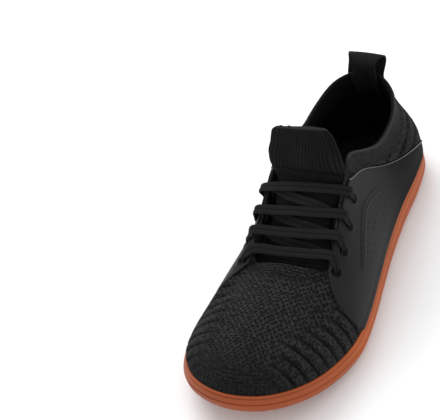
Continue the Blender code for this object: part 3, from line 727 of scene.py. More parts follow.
# Soft folds of the upper: place from the toe, rise, reach from the toe, reach in rise,
# depth, and the sides it is on
FOLDS = (
    (0.235, 0.62, 0.035, 0.16, 1.1 * MM, (1, -1)),
    (0.300, 0.30, 0.050, 0.20, 0.8 * MM, (-1,)),
    (0.700, 0.55, 0.060, 0.22, 0.9 * MM, (1, -1)),
    (0.930, 0.62, 0.050, 0.20, 0.8 * MM, (1, -1)),
)


def fold_depth(turn, rise):
    """Depth of the soft folds at a place on the upper, running out at its rim and its edge."""
    signed = np.mod(turn + 1, 2.0) - 1
    depth = np.zeros(np.broadcast(turn, rise).shape)
    for place, height, reach, climb, deep, sides in FOLDS:
        for side in sides:
            depth += deep * hump(signed, side * place, reach) * hump(rise, height, climb)
    return depth * np.sin(np.pi * np.clip(rise, 0, 1)) ** 0.5


def edge_rim(turn, angle):
    """Rounded rim over the collar and throat, from the outside, angle 0, to the inside, pi."""
    edge = upper_surface(turn, 1.0)
    out = upper_normal(turn, 1.0)
    climb = edge - upper_surface(turn, 0.99)
    climb = climb / np.linalg.norm(climb, axis=-1, keepdims=True)
    half = (upper_wall(turn, 1.0) / 2)[..., None]
    return edge - out * half + half * (out * np.cos(angle)[..., None] + climb * np.sin(angle)[..., None])


# %% Knit upper piece
KNIT_TURNS = 640
KNIT_RISES = 66
RIM_ANGLES = np.linspace(0, math.pi, 7)[1:-1]
RIM_ROWS = 2
INNER_RISES = np.linspace(1, 0.0, 12)
TUCK_DEPTH = 3 * MM
FLOOR_GAP = 0.5 * MM
KNIT_MARKS = ("groove", "holes", "toe_band", "throat", "rim", "band", "inside", "fleck")
# Ranges of rises, or of places from the toe, over which a pattern comes in or fades
TOE_BAND_PLACE = (0.10, 0.15)
TOE_BAND_RISES = (0.28, 0.40)
HOLE_RISES = (0.36, 0.62)
THROAT_PLACE = (0.22, 0.27)
THROAT_RISES = (0.90, 0.94)
FLECK_PLACE = (0.74, 0.79, 0.92, 0.97)
FLECK_RISES = (0.34, 0.42, 0.66, 0.74)
BAND_PLACE = (0.58, 0.62)
BAND_RISES = (0.72, 0.78)
COLLAR_PLACE = (0.60, 0.64)


def knit_marks(turn, rise, groove, rim, inside):
    """Where each pattern of the knit lies, from 0 to 1, and where the painted highlight on the collar's
    rim and the painted shade inside lie.
    """
    side = from_toe(turn)
    front, rear = overlay_edges(rise / OVERLAY_TOP)
    ahead = 1 - ramp(side, front, front + 0.02)
    behind = ramp(side, rear - 0.01, rear + 0.01)
    near_toe = 1 - ramp(side, *TOE_BAND_PLACE)
    over_band = ramp(rise, *TOE_BAND_RISES)
    holes = ahead * np.maximum(ramp(rise, *HOLE_RISES), near_toe * over_band)
    toe_band = ahead * near_toe * (1 - over_band)
    throat = ahead * ramp(rise, *THROAT_RISES) * (1 - ramp(side, *THROAT_PLACE))
    fleck = behind * window(side, *FLECK_PLACE) * window(rise, *FLECK_RISES)
    band = ramp(side, *BAND_PLACE) * ramp(rise, *BAND_RISES)
    outer = 1 - inside
    # The painted highlight lies on the collar's rim only
    rim = rim * ramp(side, *COLLAR_PLACE)
    patterned = (holes * outer, toe_band * outer, throat * outer)
    return dict(zip(KNIT_MARKS, (groove, *patterned, rim, band * outer, inside, fleck * outer)))


def make_knit(look):
    turns = np.linspace(0, 2, KNIT_TURNS + 1)
    rises = np.linspace(0, 1, KNIT_RISES + 1)
    turn, rise = np.meshgrid(turns, rises)
    height, groove = knit_relief(turn, rise)
    outer = off_upper(turn, rise, height + foot_bulge(rise) - fold_depth(turn, rise))
    foot = outer[:1] - np.array([0, 0, TUCK_DEPTH])
    rim = edge_rim(*np.meshgrid(turns, RIM_ANGLES))
    inner = inside_upper(*np.meshgrid(turns, INNER_RISES), 0.0)
    floor = inner[-1:].copy()
    floor[..., 2] = ground_at(floor[..., 1]) + SOLE_THICKNESS + FLOOR_GAP
    points = np.concatenate([foot, outer, rim, inner, floor])
    all_rises = np.concatenate([[0.0], rises, np.ones(len(RIM_ANGLES)), INNER_RISES, [0.0]])
    grid_turn, grid_rise = np.meshgrid(turns, all_rises)
    grooves = np.zeros(grid_turn.shape)
    grooves[1 : 1 + len(rises)] = groove
    past_edge = np.arange(len(points))[:, None] - len(rises) + 0 * grid_turn
    inside = (past_edge > RIM_ROWS).astype(float)
    near_edge = ((past_edge >= 0) & (past_edge <= RIM_ROWS)).astype(float)
    bm = start_piece(KNIT_MARKS)
    add_grid(bm, points, flat_map(points), knit_marks(grid_turn, grid_rise, grooves, near_edge, inside))
    finish_piece("knit_upper", bm, look, "upper")


# Sizes of the knit's patterns. Dots: pitch across, pitch along, radius of the full dot and
# radius where it ends
STITCH_WIDTH = 1.9 * MM
STITCH_HEIGHT = 3.1 * MM
COURSE_PITCH = 1.3 * MM
DASH_LENGTH = 2.7 * MM
DASH_WIDTH = 2.2 * MM
THROAT_PITCH = 2.4 * MM
HOLE_DOTS = (3.4 * MM, 2.05 * MM, 0.22 * MM, 0.90 * MM)
HOLE_WOBBLE = 1.1 * MM
FLECK_DOTS = (3.0 * MM, 2.2 * MM, 0.3 * MM, 1.0 * MM)
ZIGZAG_PITCH = 6.0 * MM
ZIGZAG_HEIGHT = 4.0 * MM
TOE_DARKENS = (-96 * MM, -130 * MM)
DARK_YARN = (0.0050, 0.0050, 0.0051)
LIGHT_YARN = (0.038, 0.038, 0.039)


def knit_look():
    look = Look("knit", Specular_IOR_Level=0.10)
    place = look.place()
    x, y, z = look.parts(place)
    across, along = look.flat()
    stitch = (across / STITCH_WIDTH + along / STITCH_HEIGHT).wave(1) * along.wave(COURSE_PITCH)
    soft = look.noise(place, 55.0)
    yarn = look.noise(place, 560.0, 3.0).between(0.35, 0.65) * (stitch * 0.5 + 0.5)
    wobble = (look.noise(place, 180.0) - 0.5) * HOLE_WOBBLE
    holes = look.dots(x + wobble, y + wobble, *HOLE_DOTS) * look.mark("holes")
    dashes = along.wave(DASH_LENGTH) * (across.wave(DASH_WIDTH) * 0.6 + 0.4) * look.mark("toe_band")
    throat = y.wave(THROAT_PITCH) * look.mark("throat")
    zigzag = (((x + y) / ZIGZAG_PITCH).fraction() - 0.5).size() * ZIGZAG_HEIGHT
    flecks = look.dots(x + y, z + zigzag, *FLECK_DOTS) * look.mark("fleck")
    # Painted shade in the rib grooves and the holes, together with the knit's own dark stitches of the toe
    # band, throat and heel flecks
    shaded_grooves_and_stitches = look.mark("groove").most(holes).most(flecks).most(dashes * 0.75).most(throat * 0.7)
    worn = look.blend(yarn, DARK_YARN, LIGHT_YARN)
    # Painted shade: the knit darkens towards the toe tip
    toe = look.blend(y.between(*TOE_DARKENS) * 0.45, worn, SHADE)
    calm = look.blend(look.mark("band") * 0.6, toe, (0.010, 0.010, 0.0102))
    # Painted highlight along the outer part of the collar's rounded rim
    rimmed = look.blend(look.mark("rim"), calm, (0.030, 0.030, 0.031))
    dark = look.blend(shaded_grooves_and_stitches, rimmed, (0.0015, 0.0015, 0.0016))
    # Painted shade over the whole inside of the shoe
    colour = look.blend(look.mark("inside"), dark, SHADE)
    bump = stitch * 0.25 + yarn * 0.2 - holes * 1.3 - dashes * 0.9 - throat * 0.8 - flecks * 0.8
    return look.finish(colour, soft * 0.1 + 0.78, bump, 0.6 * MM)


make_knit(knit_look())

# %% [markdown]
# ## Overlays
#
# A smooth synthetic sheet on each side, from the sole to the eyestay. A soft double
# ridge stands on it, with a valley along its middle. About three rows of pinholes lie
# inside the ridge's bend, and a bead runs down the sheet's rear edge.

# %% Overlays
# Width, length and rim of an overlay's sheet, and how many columns and rows it has
OVERLAY_SHEET = (150 * MM, 85 * MM, 1.1 * MM, 150, 84)
CORNER_DROP = 0.07
# Across the sheet: the bead, which is painted with a highlight, and a painted shadow line just in front of
# it
BEAD_PLACE = 0.978
BEAD_SHADOW_PLACE = 0.958
BEAD_SPREAD = 0.008
# Valley of the double ridge. Columns: place from the toe, rise
RIDGE_PATH = ((0.69, 0.05), (0.64, 0.31), (0.605, 0.535), (0.562, 0.65), (0.517, 0.615), (0.445, 0.45))
RIDGE_STEPS = 24
RIDGE_WIDTH = 1.8 * MM
RIDGE_HEIGHT = 0.55 * MM
RIDGE_STARTS = (0.03, 0.12)
# Lengths that 1 in places from the toe and 1 in rise stand for, near the ridge
TURN_LENGTH = 360 * MM
RISE_LENGTH = 78 * MM
# Hollow of an eyelet, and the raised ring round it
EYELET_DEPTH = 1.5 * MM
RING_HEIGHT = 0.35 * MM
RING_REACH = 0.9 * MM
PIN_PLACE = (0.453, 0.463, 0.603, 0.613)
PIN_RISES = (0.16, 0.19, 0.535, 0.565)
OVERLAY_MARKS = ("pins", "eyelet", "bead", "shaded_seam")


def near_path(turn, rise, path):
    """Distance in metres, on the overlay, from a smooth path of turns and rises."""
    scale = np.array([TURN_LENGTH, RISE_LENGTH])
    spot = np.stack([from_toe(turn), rise], axis=-1) * scale
    knots = np.arange(len(path))
    line = through(knots, path, np.linspace(0, knots[-1], RIDGE_STEPS)) * scale
    best = np.full(turn.shape, 1.0)
    for start, end in zip(line, line[1:]):
        run = end - start
        share = np.clip(np.sum((spot - start) * run, axis=-1) / np.sum(run**2), 0, 1)
        best = np.minimum(best, np.linalg.norm(spot - start - share[..., None] * run, axis=-1))
    return best


def eyelet_spots(side):
    """Centre and direction of each eyelet on a side."""
    spots = []
    for pair in EYELETS:
        turn = side * (pair[0] if side > 0 else pair[1])
        rise = rise_below_edge(turn, EYELET_SETBACK)
        spots.append((upper_surface(turn, rise), upper_normal(turn, rise)))
    return spots


def make_overlay(name, side, look):
    across, climb, full = rounded_sheet(*OVERLAY_SHEET)
    share, step = np.meshgrid(across, climb)
    near_end = np.clip((np.abs(share - 0.5) - 0.5 + OVERLAY_CORNER) / OVERLAY_CORNER, 0, 1)
    top = OVERLAY_TOP - CORNER_DROP * (1 - np.sqrt(1 - 0.96 * near_end**2))
    front, rear = overlay_edges(step)
    turn = side * (front + (rear - front) * share)
    rise = step * top
    lift = OVERLAY_SEAT + OVERLAY_THICKNESS / 2 + foot_bulge(rise) - fold_depth(turn, rise)
    middle = off_upper(turn, rise, lift)
    bead = hump(share, BEAD_PLACE, BEAD_SPREAD)
    # Where the painted shadow line in front of the bead lies
    shaded_seam = hump(share, BEAD_SHADOW_PLACE, BEAD_SPREAD)
    ridge = hump(near_path(turn, rise, RIDGE_PATH), RIDGE_WIDTH, 0.7 * RIDGE_WIDTH)
    raised = (BEAD_HEIGHT * bead * full + RIDGE_HEIGHT * ridge) * ramp(rise, *RIDGE_STARTS)
    eyelet = np.zeros(turn.shape)
    for centre, out in eyelet_spots(side):
        offset = middle - centre
        flat = offset - out * np.sum(offset * out, axis=-1, keepdims=True)
        distance = np.linalg.norm(flat, axis=-1)
        eyelet = np.maximum(eyelet, 1 - ramp(distance, 0.40 * EYELET_DIAMETER, 0.56 * EYELET_DIAMETER))
        raised += RING_HEIGHT * hump(distance, 0.62 * EYELET_DIAMETER, RING_REACH)
    raised -= EYELET_DEPTH * eyelet
    pins = window(from_toe(turn), *PIN_PLACE) * window(rise, *PIN_RISES)
    marks = dict(zip(OVERLAY_MARKS, (pins, eyelet, bead, shaded_seam)))
    bm = start_piece(OVERLAY_MARKS)
    add_sheet(bm, middle, full, OVERLAY_THICKNESS, raised, side=side, marks=marks)
    finish_piece(name, bm, look, name.replace("skin", "overlay"))


# Pinholes, and the painted highlight on the lip beside each. Columns as in the knit's dots
PIN_DOTS = (5.2 * MM, 10.5 * MM, 0.8 * MM, 1.6 * MM)
LIP_DOTS = (5.2 * MM, 10.5 * MM, 0.3 * MM, 1.0 * MM)
LIP_ACROSS = 1.0 * MM
LIP_ALONG = 1.6 * MM
HEEL_DARKENS = (5 * MM, 75 * MM)
FOOT_DARKENS = (48 * MM, 22 * MM)


def overlay_look():
    look = Look("overlay", Specular_IOR_Level=0.10)
    place = look.place()
    y, z = look.parts(place)[1:]
    across, along = look.flat()
    grain = look.noise(place, 900.0, 3.0)
    cloud = look.noise(place, 30.0).between(0.3, 0.7)
    pins = look.dots(across, along, *PIN_DOTS) * look.mark("pins")
    # Painted highlight on the lip beside each pinhole
    lip_highlights = look.dots(across + LIP_ACROSS, along + LIP_ALONG, *LIP_DOTS) * look.mark("pins")
    # Painted shade: the overlay darkens towards the heel and towards the sole
    towards_heel = y.between(*HEEL_DARKENS)
    darker = (towards_heel * 0.62).most(z.between(*FOOT_DARKENS) * 0.25)
    base = look.blend(cloud, (0.0105, 0.0105, 0.0108), (0.0145, 0.0145, 0.0149))
    shaded = look.blend(darker, base, (0.003, 0.003, 0.0031))
    # Painted shadow line just in front of the bead, then the painted highlight on the bead
    bead_shadowed = look.blend(look.mark("shaded_seam") * 0.8, shaded, (0.001, 0.001, 0.001))
    beaded = look.blend(look.mark("bead"), bead_shadowed, (0.25, 0.25, 0.26))
    lipped = look.blend(lip_highlights * 0.5, beaded, (0.075, 0.075, 0.077))
    # Painted shade in the pinholes and in the eyelet hollows
    pinned = look.blend(pins, lipped, DEEP_SHADE)
    colour = look.blend(look.mark("eyelet"), pinned, DEEP_SHADE)
    dull = grain * 0.15 + towards_heel * 0.31 + 0.44
    return look.finish(colour, dull, grain * 0.25 - pins, 0.35 * MM)


OVERLAY_LOOK = overlay_look()
make_overlay("skin_lateral", 1, OVERLAY_LOOK)
make_overlay("skin_medial", -1, OVERLAY_LOOK)

# %% [markdown]
# ## Sole
#
# One gum rubber cup. Its grid runs round the shoe one way and, the other way, from the
# middle of the underside out over the tread pad, up the side, over the rim and down to
# the footbed.

# %% Sole
SOLE_TURNS = 420
SOLE_MARKS = ("tread", "crease", "rim_line")
PAD_RINGS = np.linspace(1, 0.02, 36)
# Edge of the tread pad: outwards, height
PAD_EDGE = ((-0.3 * MM, 0.0), (0.0, 0.25 * MM), (PAD_DRAFT, PAD_STEP))
EDGE_SHARES = np.linspace(0, 1, 8)[1:-1]
SIDE_STEPS = 4
# Lines round the side of the sole that are painted darker as shade along its crease and its rim line:
# height and reach as shares of the wall
CREASE_LINE = (0.60, 0.025)
RIM_LINE = (0.87, 0.03)
INNER_HEIGHTS = (0.7, 0.4)
FOOTBED_FILLET = 0.3
FOOTBED_SHARES = np.linspace(0, 1, 7)[1:]


def sole_ring(turns, inset, height):
    """Ring inside the sole's outline, at a height over its underside."""
    plan = outline(turns, np.broadcast_to(inset, turns.shape))[0]
    return np.column_stack([plan, ground_at(plan[:, 1]) + height])


def on_ground(ring, height):
    """The ring at a height over the sole's underside."""
    return np.column_stack([ring[:, :2], ground_at(ring[:, 1]) + height])


def towards_middle(ring, turns, shares, height):
    """Rings that close a loop towards the line midway between its two sides."""
    partner = np.column_stack([np.interp(2 - turns, turns, ring[:, axis]) for axis in range(3)])
    middle = (ring + partner) / 2
    return [on_ground(ring + (middle - ring) * share, height) for share in shares]


def groove_depth(points):
    """How deep in one of the grooves across the tread pad each point lies, 0 to 1."""
    along = 0.5 - points[..., 1] / SHOE_LENGTH
    deep = np.zeros(points.shape[:-1])
    for start, lateral, medial, bow in GROOVES:
        share = points[..., 0] / width_at(along)
        middle = (lateral + medial) / 2
        across = (share - middle) / (lateral - middle)
        line = start + bow * (1 - np.clip(across, -1, 1) ** 2)
        distance = np.abs(along - line) * SHOE_LENGTH
        deep = np.maximum(deep, 1 - ramp(distance, 0.3 * GROOVE_WIDTH, 0.6 * GROOVE_WIDTH))
    return deep


def make_sole(look):
    turns = np.linspace(0, 2, SOLE_TURNS + 1)
    wall = wall_height(turns)
    pad = np.column_stack([read_loop(PAD_TURNS, PAD_PLACES, turns), np.zeros_like(turns)])
    pad_out = np.column_stack([read_loop(PAD_TURNS, PAD_OUTWARD, turns), np.zeros_like(turns)])
    rings, marks = [], []

    def add(ring, **marked):
        rings.append(ring)
        marks.append([marked.get(mark, 0.0) for mark in SOLE_MARKS])

    for ring in towards_middle(pad, turns, PAD_RINGS, 0.0):
        add(ring, tread=1.0)
    for spread, height in PAD_EDGE:
        add(on_ground(pad + pad_out * spread, height))
    knots = np.arange(len(SIDE))
    side = through(knots, SIDE, np.linspace(0, knots[-1], SIDE_STEPS * knots[-1] + 1))
    pad_edge = rings[-1]
    edge = sole_ring(turns, side[0][0] * SOLE_WALL, PAD_STEP)
    for share in EDGE_SHARES:
        add(on_ground(pad_edge + (edge - pad_edge) * share, PAD_STEP))
    for inset, share in side:
        ring = sole_ring(turns, inset * SOLE_WALL, np.maximum(share * wall, PAD_STEP))
        add(ring, crease=hump(share, *CREASE_LINE), rim_line=hump(share, *RIM_LINE))
    for share in INNER_HEIGHTS:
        add(sole_ring(turns, SOLE_WALL, SOLE_THICKNESS + (wall - SOLE_THICKNESS) * share))
    add(sole_ring(turns, SOLE_WALL, SOLE_THICKNESS + FOOTBED_FILLET * SOLE_WALL))
    footbed = sole_ring(turns, (1 + FOOTBED_FILLET) * SOLE_WALL, SOLE_THICKNESS)
    add(footbed)
    for ring in towards_middle(footbed, turns, FOOTBED_SHARES, SOLE_THICKNESS):
        add(ring)
    points = np.array(rings)
    tread, crease, rim_line = [np.repeat(column[:, None], len(turns), 1) for column in np.array(marks).T]
    deep = groove_depth(points)
    points[..., 2] += PAD_STEP * deep * tread
    bm = start_piece(SOLE_MARKS)
    spread = dict(zip(SOLE_MARKS, (tread * (1 - deep), crease, rim_line)))
    add_grid(bm, points, flat_map(points), spread)
    finish_piece("rubber_sole", bm, look, "outsole")


def hexagons(x, y, pitch):
    """Distance from the edge of a honeycomb's cells, in shares of the pitch."""
    tall = math.sqrt(3)
    distances = []
    for shift in (0.0, 0.5):
        across = ((x / pitch + shift).fraction() - 0.5).size()
        along = (((y / (pitch * tall)) + shift).fraction() - 0.5).size() * tall
        distances.append(across.most(across * 0.5 + along * (tall / 2)))
    return 0.5 - distances[0].math("MINIMUM", distances[1])


HEX_PITCH = 7.5 * MM
# Shift in metres that keeps the honeycomb's places above 0
HEX_START = 0.5
SOLE_DARKENS = (-60 * MM, -135 * MM)


def sole_look():
    look = Look("gum_rubber", Specular_IOR_Level=0.18)
    place = look.place()
    x, y = look.parts(place)[:2]
    cloud = look.noise(place, 22.0, 3.0)
    grain = look.noise(place, 700.0)
    cells = hexagons(x + HEX_START, y + HEX_START, HEX_PITCH).between(0.04, 0.10)
    tread = look.mark("tread")
    warm = look.blend(cloud.between(0.3, 0.7), (0.335, 0.068, 0.016), (0.43, 0.097, 0.023))
    # Painted shade: the sole darkens towards the toe
    toe = look.blend(y.between(*SOLE_DARKENS) * 0.6, warm, (0.20, 0.040, 0.014))
    # Painted shade along the side's crease and its rim line
    lined = look.blend(look.mark("crease") * 0.15, toe, (0.16, 0.040, 0.018))
    rimmed = look.blend(look.mark("rim_line") * 0.18, lined, (0.20, 0.050, 0.022))
    # Painted shade in the grooves between the tread's hexagon cells
    colour = look.blend((1 - cells) * tread * 0.4, rimmed, (0.17, 0.045, 0.02))
    return look.finish(colour, cloud * 0.15 + 0.42, cells * tread * 1.5 + grain * 0.06, 0.5 * MM)


make_sole(sole_look())

# %% Insole
INSOLE_TURNS = 180
INSOLE_SHARES = (0.33, 0.66, 1.0)
WEAVE_PITCH = 1.5 * MM


def make_insole(look):
    turns = np.linspace(0, 2, INSOLE_TURNS + 1)
    edge = SOLE_WALL + KNIT_WALL + 1.5 * GAP
    low = SOLE_THICKNESS + GAP
    high = low + INSOLE_THICKNESS
    soft = INSOLE_THICKNESS / 3
    under = sole_ring(turns, edge + soft, low)
    over = sole_ring(turns, edge + soft, high)
    rings = towards_middle(under, turns, INSOLE_SHARES[::-1], low)
    rings += [under, sole_ring(turns, edge, low + soft), sole_ring(turns, edge, high - soft), over]
    rings += towards_middle(over, turns, INSOLE_SHARES, high)
    points = np.array(rings)
    bm = start_piece()
    add_grid(bm, points, flat_map(points))
    finish_piece("lining_insole", bm, look, "insole")


def insole_look():
    look = Look("insole_cloth", Specular_IOR_Level=0.2, Roughness=0.9)
    place = look.place()
    x, y = look.parts(place)[:2]
    weave = x.wave(WEAVE_PITCH) * y.wave(WEAVE_PITCH)
    soft = look.noise(place, 60.0)
    colour = look.blend(soft, (0.004, 0.004, 0.0045), (0.009, 0.009, 0.0095))
    return look.finish(colour, None, weave * 0.5, 0.3 * MM)


make_insole(insole_look())

# %% [markdown]
# ## Tongue
#
# A net of rows under the throat, then the ribbed flap that stands over the collar. The
# rows are joined by smooth curves both ways.

# %% Tongue net
# Rows of the flap. Columns: place along the shoe, height, width, how far its sides sag back
FLAP = (
    (0.500, 0.810, 1.04, 0.12),
    (0.484, 0.905, 1.02, 0.08),
    (0.472, 1.000, 0.95, 0.04),
)
FLAP_CENTRE = -0.066
# First row of the tongue, sewn under the vamp. Columns: share of the throat's first turn, rise
TUCKED = (
    (1.0, 0.93),
    (0.7, 0.92),
    (0.0, 0.91),
    (-0.7, 0.92),
    (-1.0, 0.93),
)
TONGUE_REACH = 0.90
TONGUE_SINK = 2.2 * MM
TONGUE_CROWN = 0.08
THROAT_FIRST = 0.20
THROAT_LAST = 0.56
THROAT_STEPS = 12
TONGUE_KNOTS = (0.0, 0.15, 0.5, 0.85, 1.0)
CROWN_GROWS = 0.15


def tongue_drop():
    """Depth of the tongue under the upper, with room for the lace between them."""
    return LACE_THICKNESS + 2 * LACE_ROOM + TONGUE_SINK


def across_up(lateral, medial):
    """Direction straight out of the throat between a lateral and a medial turn."""
    up = upper_normal(lateral, 1.0) + upper_normal(-medial, 1.0)
    return up / np.linalg.norm(up)


def tongue_row(turn):
    """Five points across the throat, from under the lateral edge to under the medial one."""
    drop = tongue_drop()
    under = ((1, TONGUE_REACH), (1, 1.0), (-1, 1.0), (-1, TONGUE_REACH))
    ends = [inside_upper(side * turn, rise, drop) for side, rise in under]
    up = across_up(turn, turn)
    crown = TONGUE_CROWN * np.linalg.norm(ends[1] - ends[2]) * ease((turn - THROAT_FIRST) / CROWN_GROWS)
    middle = (ends[1] + ends[2]) / 2 + up * crown
    return np.array([ends[0], ends[1], middle, ends[2], ends[3]])


def across_tongue(turn, share):
    """Point on the tongue's top, from 0 under the lateral edge to 1 under the medial one."""
    return through(TONGUE_KNOTS, tongue_row(turn), share)


def tongue_normal(turn, share):
    """Direction straight out of the tongue's top."""
    small = 0.01
    along = across_tongue(turn + small, share) - across_tongue(turn - small, share)
    across = across_tongue(turn, share + small) - across_tongue(turn, share - small)
    out = np.cross(along, across)
    return out / np.linalg.norm(out)


def tucked_row():
    """First row of the tongue, sewn under the vamp ahead of the throat."""
    drop = tongue_drop()
    return np.array([inside_upper(across * THROAT_FIRST, rise, drop) for across, rise in TUCKED])


def flap_row(along, height, width, sag):
    """Five points across the flap."""
    half = width * TONGUE_WIDTH / 2
    y = (0.5 - along) * SHOE_LENGTH
    z = height * TONGUE_HEIGHT
    centre = FLAP_CENTRE * BALL_WIDTH
    spread = ((1, sag), (0.7, sag / 2), (0, 0), (-0.7, sag / 2), (-1, sag))
    return np.array([(centre + across * half, y + back * TONGUE_WIDTH, z) for across, back in spread])


# %% Tongue piece
TONGUE_MARKS = ("flap", "rim", "shaded_seam")
TONGUE_RIM = 1.2 * MM
FLAP_STARTS = (29 * MM, 31 * MM)
FLAP_RIM = (1.2 * MM, 2.0 * MM)
FLAP_SEAM = (26 * MM, 0.8 * MM)
FLAP_SEAM_DEPTH = 0.5 * MM
CORNER_LATERAL = 8 * MM
CORNER_MEDIAL = 5 * MM
FLAP_LATERAL = 7 * MM
FLAP_MEDIAL = 3.5 * MM
FLAP_TILT = 4.5 * MM
LATERAL_WIDENS = (2 * MM, 26 * MM)
MEDIAL_WIDENS = (21 * MM, 30 * MM)
FLAP_ENDS = (34 * MM, 50 * MM)


def flap_move(share, from_top):
    """How far the flap's points move in X and Z: out over the collar, in at the corners."""
    lateral = np.clip(1 - 2 * share, 0, 1)
    medial = np.clip(2 * share - 1, 0, 1)
    outer = FLAP_LATERAL * lateral * ramp(from_top, *LATERAL_WIDENS)
    inner = FLAP_MEDIAL * medial * ramp(from_top, *MEDIAL_WIDENS)
    aside = (outer - inner) * (1 - ramp(from_top, *FLAP_ENDS))
    radius = np.where(share > 0.5, CORNER_MEDIAL, CORNER_LATERAL)
    over = np.clip(1 - from_top / radius, 0, 1)
    aside += radius * (1 - np.sqrt(1 - 0.995 * over**2)) * (medial - lateral)
    high = 1 - ramp(from_top, 0, FLAP_ENDS[0])
    return aside, high * FLAP_TILT * (1 - share**2)


def make_tongue(look):
    throat = [tongue_row(turn) for turn in np.linspace(THROAT_FIRST, THROAT_LAST, THROAT_STEPS)]
    net = np.array([tucked_row()] + throat + [flap_row(*row) for row in FLAP])
    walked = walk(net[:, 2])
    across, along, full = rounded_sheet(44 * MM, walked[-1], TONGUE_RIM, 60, 130)
    top = smooth_net(net, TONGUE_KNOTS, walked, across, along)
    share, length = np.meshgrid(across, along)
    from_top = (1 - length) * walked[-1]
    aside, lift = flap_move(share, from_top)
    top[..., 0] += aside
    top[..., 2] += lift
    out = normals_of(top)
    facing = 1 if out[len(along) // 3, len(across) // 2, 2] > 0 else -1
    middle = top - out * facing * TONGUE_THICKNESS / 2
    flap = 1 - ramp(from_top, *FLAP_STARTS)
    rim = 1 - ramp(from_top, *FLAP_RIM)
    shaded_seam = hump(from_top, *FLAP_SEAM)
    bm = start_piece(TONGUE_MARKS)
    marks = dict(zip(TONGUE_MARKS, (flap, rim, shaded_seam)))
    add_sheet(bm, middle, full, TONGUE_THICKNESS, -FLAP_SEAM_DEPTH * shaded_seam, side=facing, marks=marks)
    finish_piece("knit_tongue", bm, look, "tongue")


RIB_PITCH = 2.1 * MM
TONGUE_STITCH = 1.4 * MM
CROSS_PITCH = 2.2 * MM


def tongue_look():
    look = Look("ribbed_knit", Specular_IOR_Level=0.08)
    across, along = look.flat()
    soft = look.noise(look.place(), 60.0)
    flap = look.mark("flap")
    ribs = across.wave(RIB_PITCH)
    cross = along.wave(CROSS_PITCH) * (1 - flap)
    base = look.blend(soft.between(0.35, 0.65), (0.008, 0.008, 0.0085), (0.013, 0.013, 0.014))
    # Painted shade in the grooves between the flap's ribs
    ribbed = look.blend((1 - ribs) * flap * 0.65, base, DEEP_SHADE)
    # Painted shade on the tongue below the flap, under the laces and eyestays
    deep = look.blend((1 - flap) * 0.55, ribbed, SHADE)
    # Painted highlight along the flap's rounded top edge
    rimmed = look.blend(look.mark("rim"), deep, (0.035, 0.035, 0.037))
    # Painted shade in the sunk seam
    colour = look.blend(look.mark("shaded_seam") * 0.7, rimmed, DEEP_SHADE)
    bump = ribs * flap + cross * 0.6 + along.wave(TONGUE_STITCH) * 0.2
    return look.finish(colour, soft * 0.1 + 0.8, bump, 0.5 * MM)


make_tongue(tongue_look())

# %% [markdown]
# ## Pull loop
#
# Webbing up the back of the heel, over in a loop above the collar and down inside it.

# %% Pull loop
HEEL_SPAN = (0.85, 1.15)
HEEL_SAMPLES = 121
LOOP_COLUMNS = 7
LOOP_FOOT = 0.03
LOOP_FLATNESS = (1.0, 0.1, 0.25)
LOOP_NARROW = 0.94
LOOP_RIM = 0.6 * MM
# Rows up the heel, down inside the collar and round the loop
CLIMB_ROWS = 10
TAIL_ROWS = 4
LOOP_ROWS = 9
THREAD_WIDTH = 1.9 * MM
THREAD_PITCH = 1.3 * MM


def heel_turns(rise, half_width, steps):
    """Turns round the heel that spread evenly over a width at a rise."""
    turns = np.linspace(*HEEL_SPAN, HEEL_SAMPLES)
    ring = upper_surface(turns, rise)
    walked = walk(ring)
    middle = walked[HEEL_SAMPLES // 2] + LOOP_SHIFT
    return np.interp(middle + np.linspace(-half_width, half_width, steps), walked, turns)


def make_pull_loop(look):
    half = LOOP_THICKNESS / 2
    half_width = LOOP_NARROW * LOOP_WIDTH / 2
    rows = []
    for rise in np.linspace(LOOP_FOOT, 1, CLIMB_ROWS):
        rows.append(off_upper(heel_turns(rise, half_width, LOOP_COLUMNS), rise, LOOP_SEAT + half))
    tail = []
    for distance in np.linspace(0, LOOP_TAIL, TAIL_ROWS):
        rise = rise_below_edge(1.0, distance)
        tail.append(inside_upper(heel_turns(rise, half_width, LOOP_COLUMNS), rise, LOOP_SEAT + half))
    start, end = rows[-1], tail[0]
    middle, reach = (start + end) / 2, (start - end) / 2
    tilt = 1 + LOOP_TILT * np.linspace(1, -1, LOOP_COLUMNS)
    for angle in np.linspace(0, math.pi, LOOP_ROWS + 2)[1:-1]:
        lean = math.cos(angle) * (1 + LOOP_BULGE * math.sin(angle))
        row = middle + reach * lean
        row[:, 2] += (LOOP_RISE - half) * tilt * math.sin(angle) ** 0.75
        centre = row[LOOP_COLUMNS // 2]
        flat = centre + (row - centre) * np.array(LOOP_FLATNESS)
        rows.append(row + (flat - row) * min(1.0, 3 * math.sin(angle)))
    net = np.array(rows + tail)
    walked = walk(net[:, LOOP_COLUMNS // 2])
    across, along, full = rounded_sheet(LOOP_WIDTH, walked[-1], LOOP_RIM, 24, 100)
    points = smooth_net(net, np.linspace(0, 1, LOOP_COLUMNS), walked, across, along)
    bm = start_piece()
    add_sheet(bm, points, full, LOOP_THICKNESS)
    finish_piece("webbing_loop", bm, look, "pull_loop")


def webbing_look():
    look = Look("webbing", Specular_IOR_Level=0.10)
    across, along = look.flat()
    rows = ((across / THREAD_WIDTH).fraction() - 0.5).size() * 2.0
    ticks = (along / THREAD_PITCH + rows * 0.7).wave(1)
    colour = look.blend(ticks * 0.6 + rows * 0.4, (0.004, 0.004, 0.0045), (0.012, 0.012, 0.013))
    return look.finish(colour, ticks * 0.1 + 0.7, ticks * 0.7 + rows * 0.3, 0.4 * MM)


make_pull_loop(webbing_look())

# %% [markdown]
# ## Lace
#
# One flat lace: a bar across each pair of eyelets and a diagonal under the eyestays up
# to the next pair. Its section has two rounded bands with a shallow valley between.

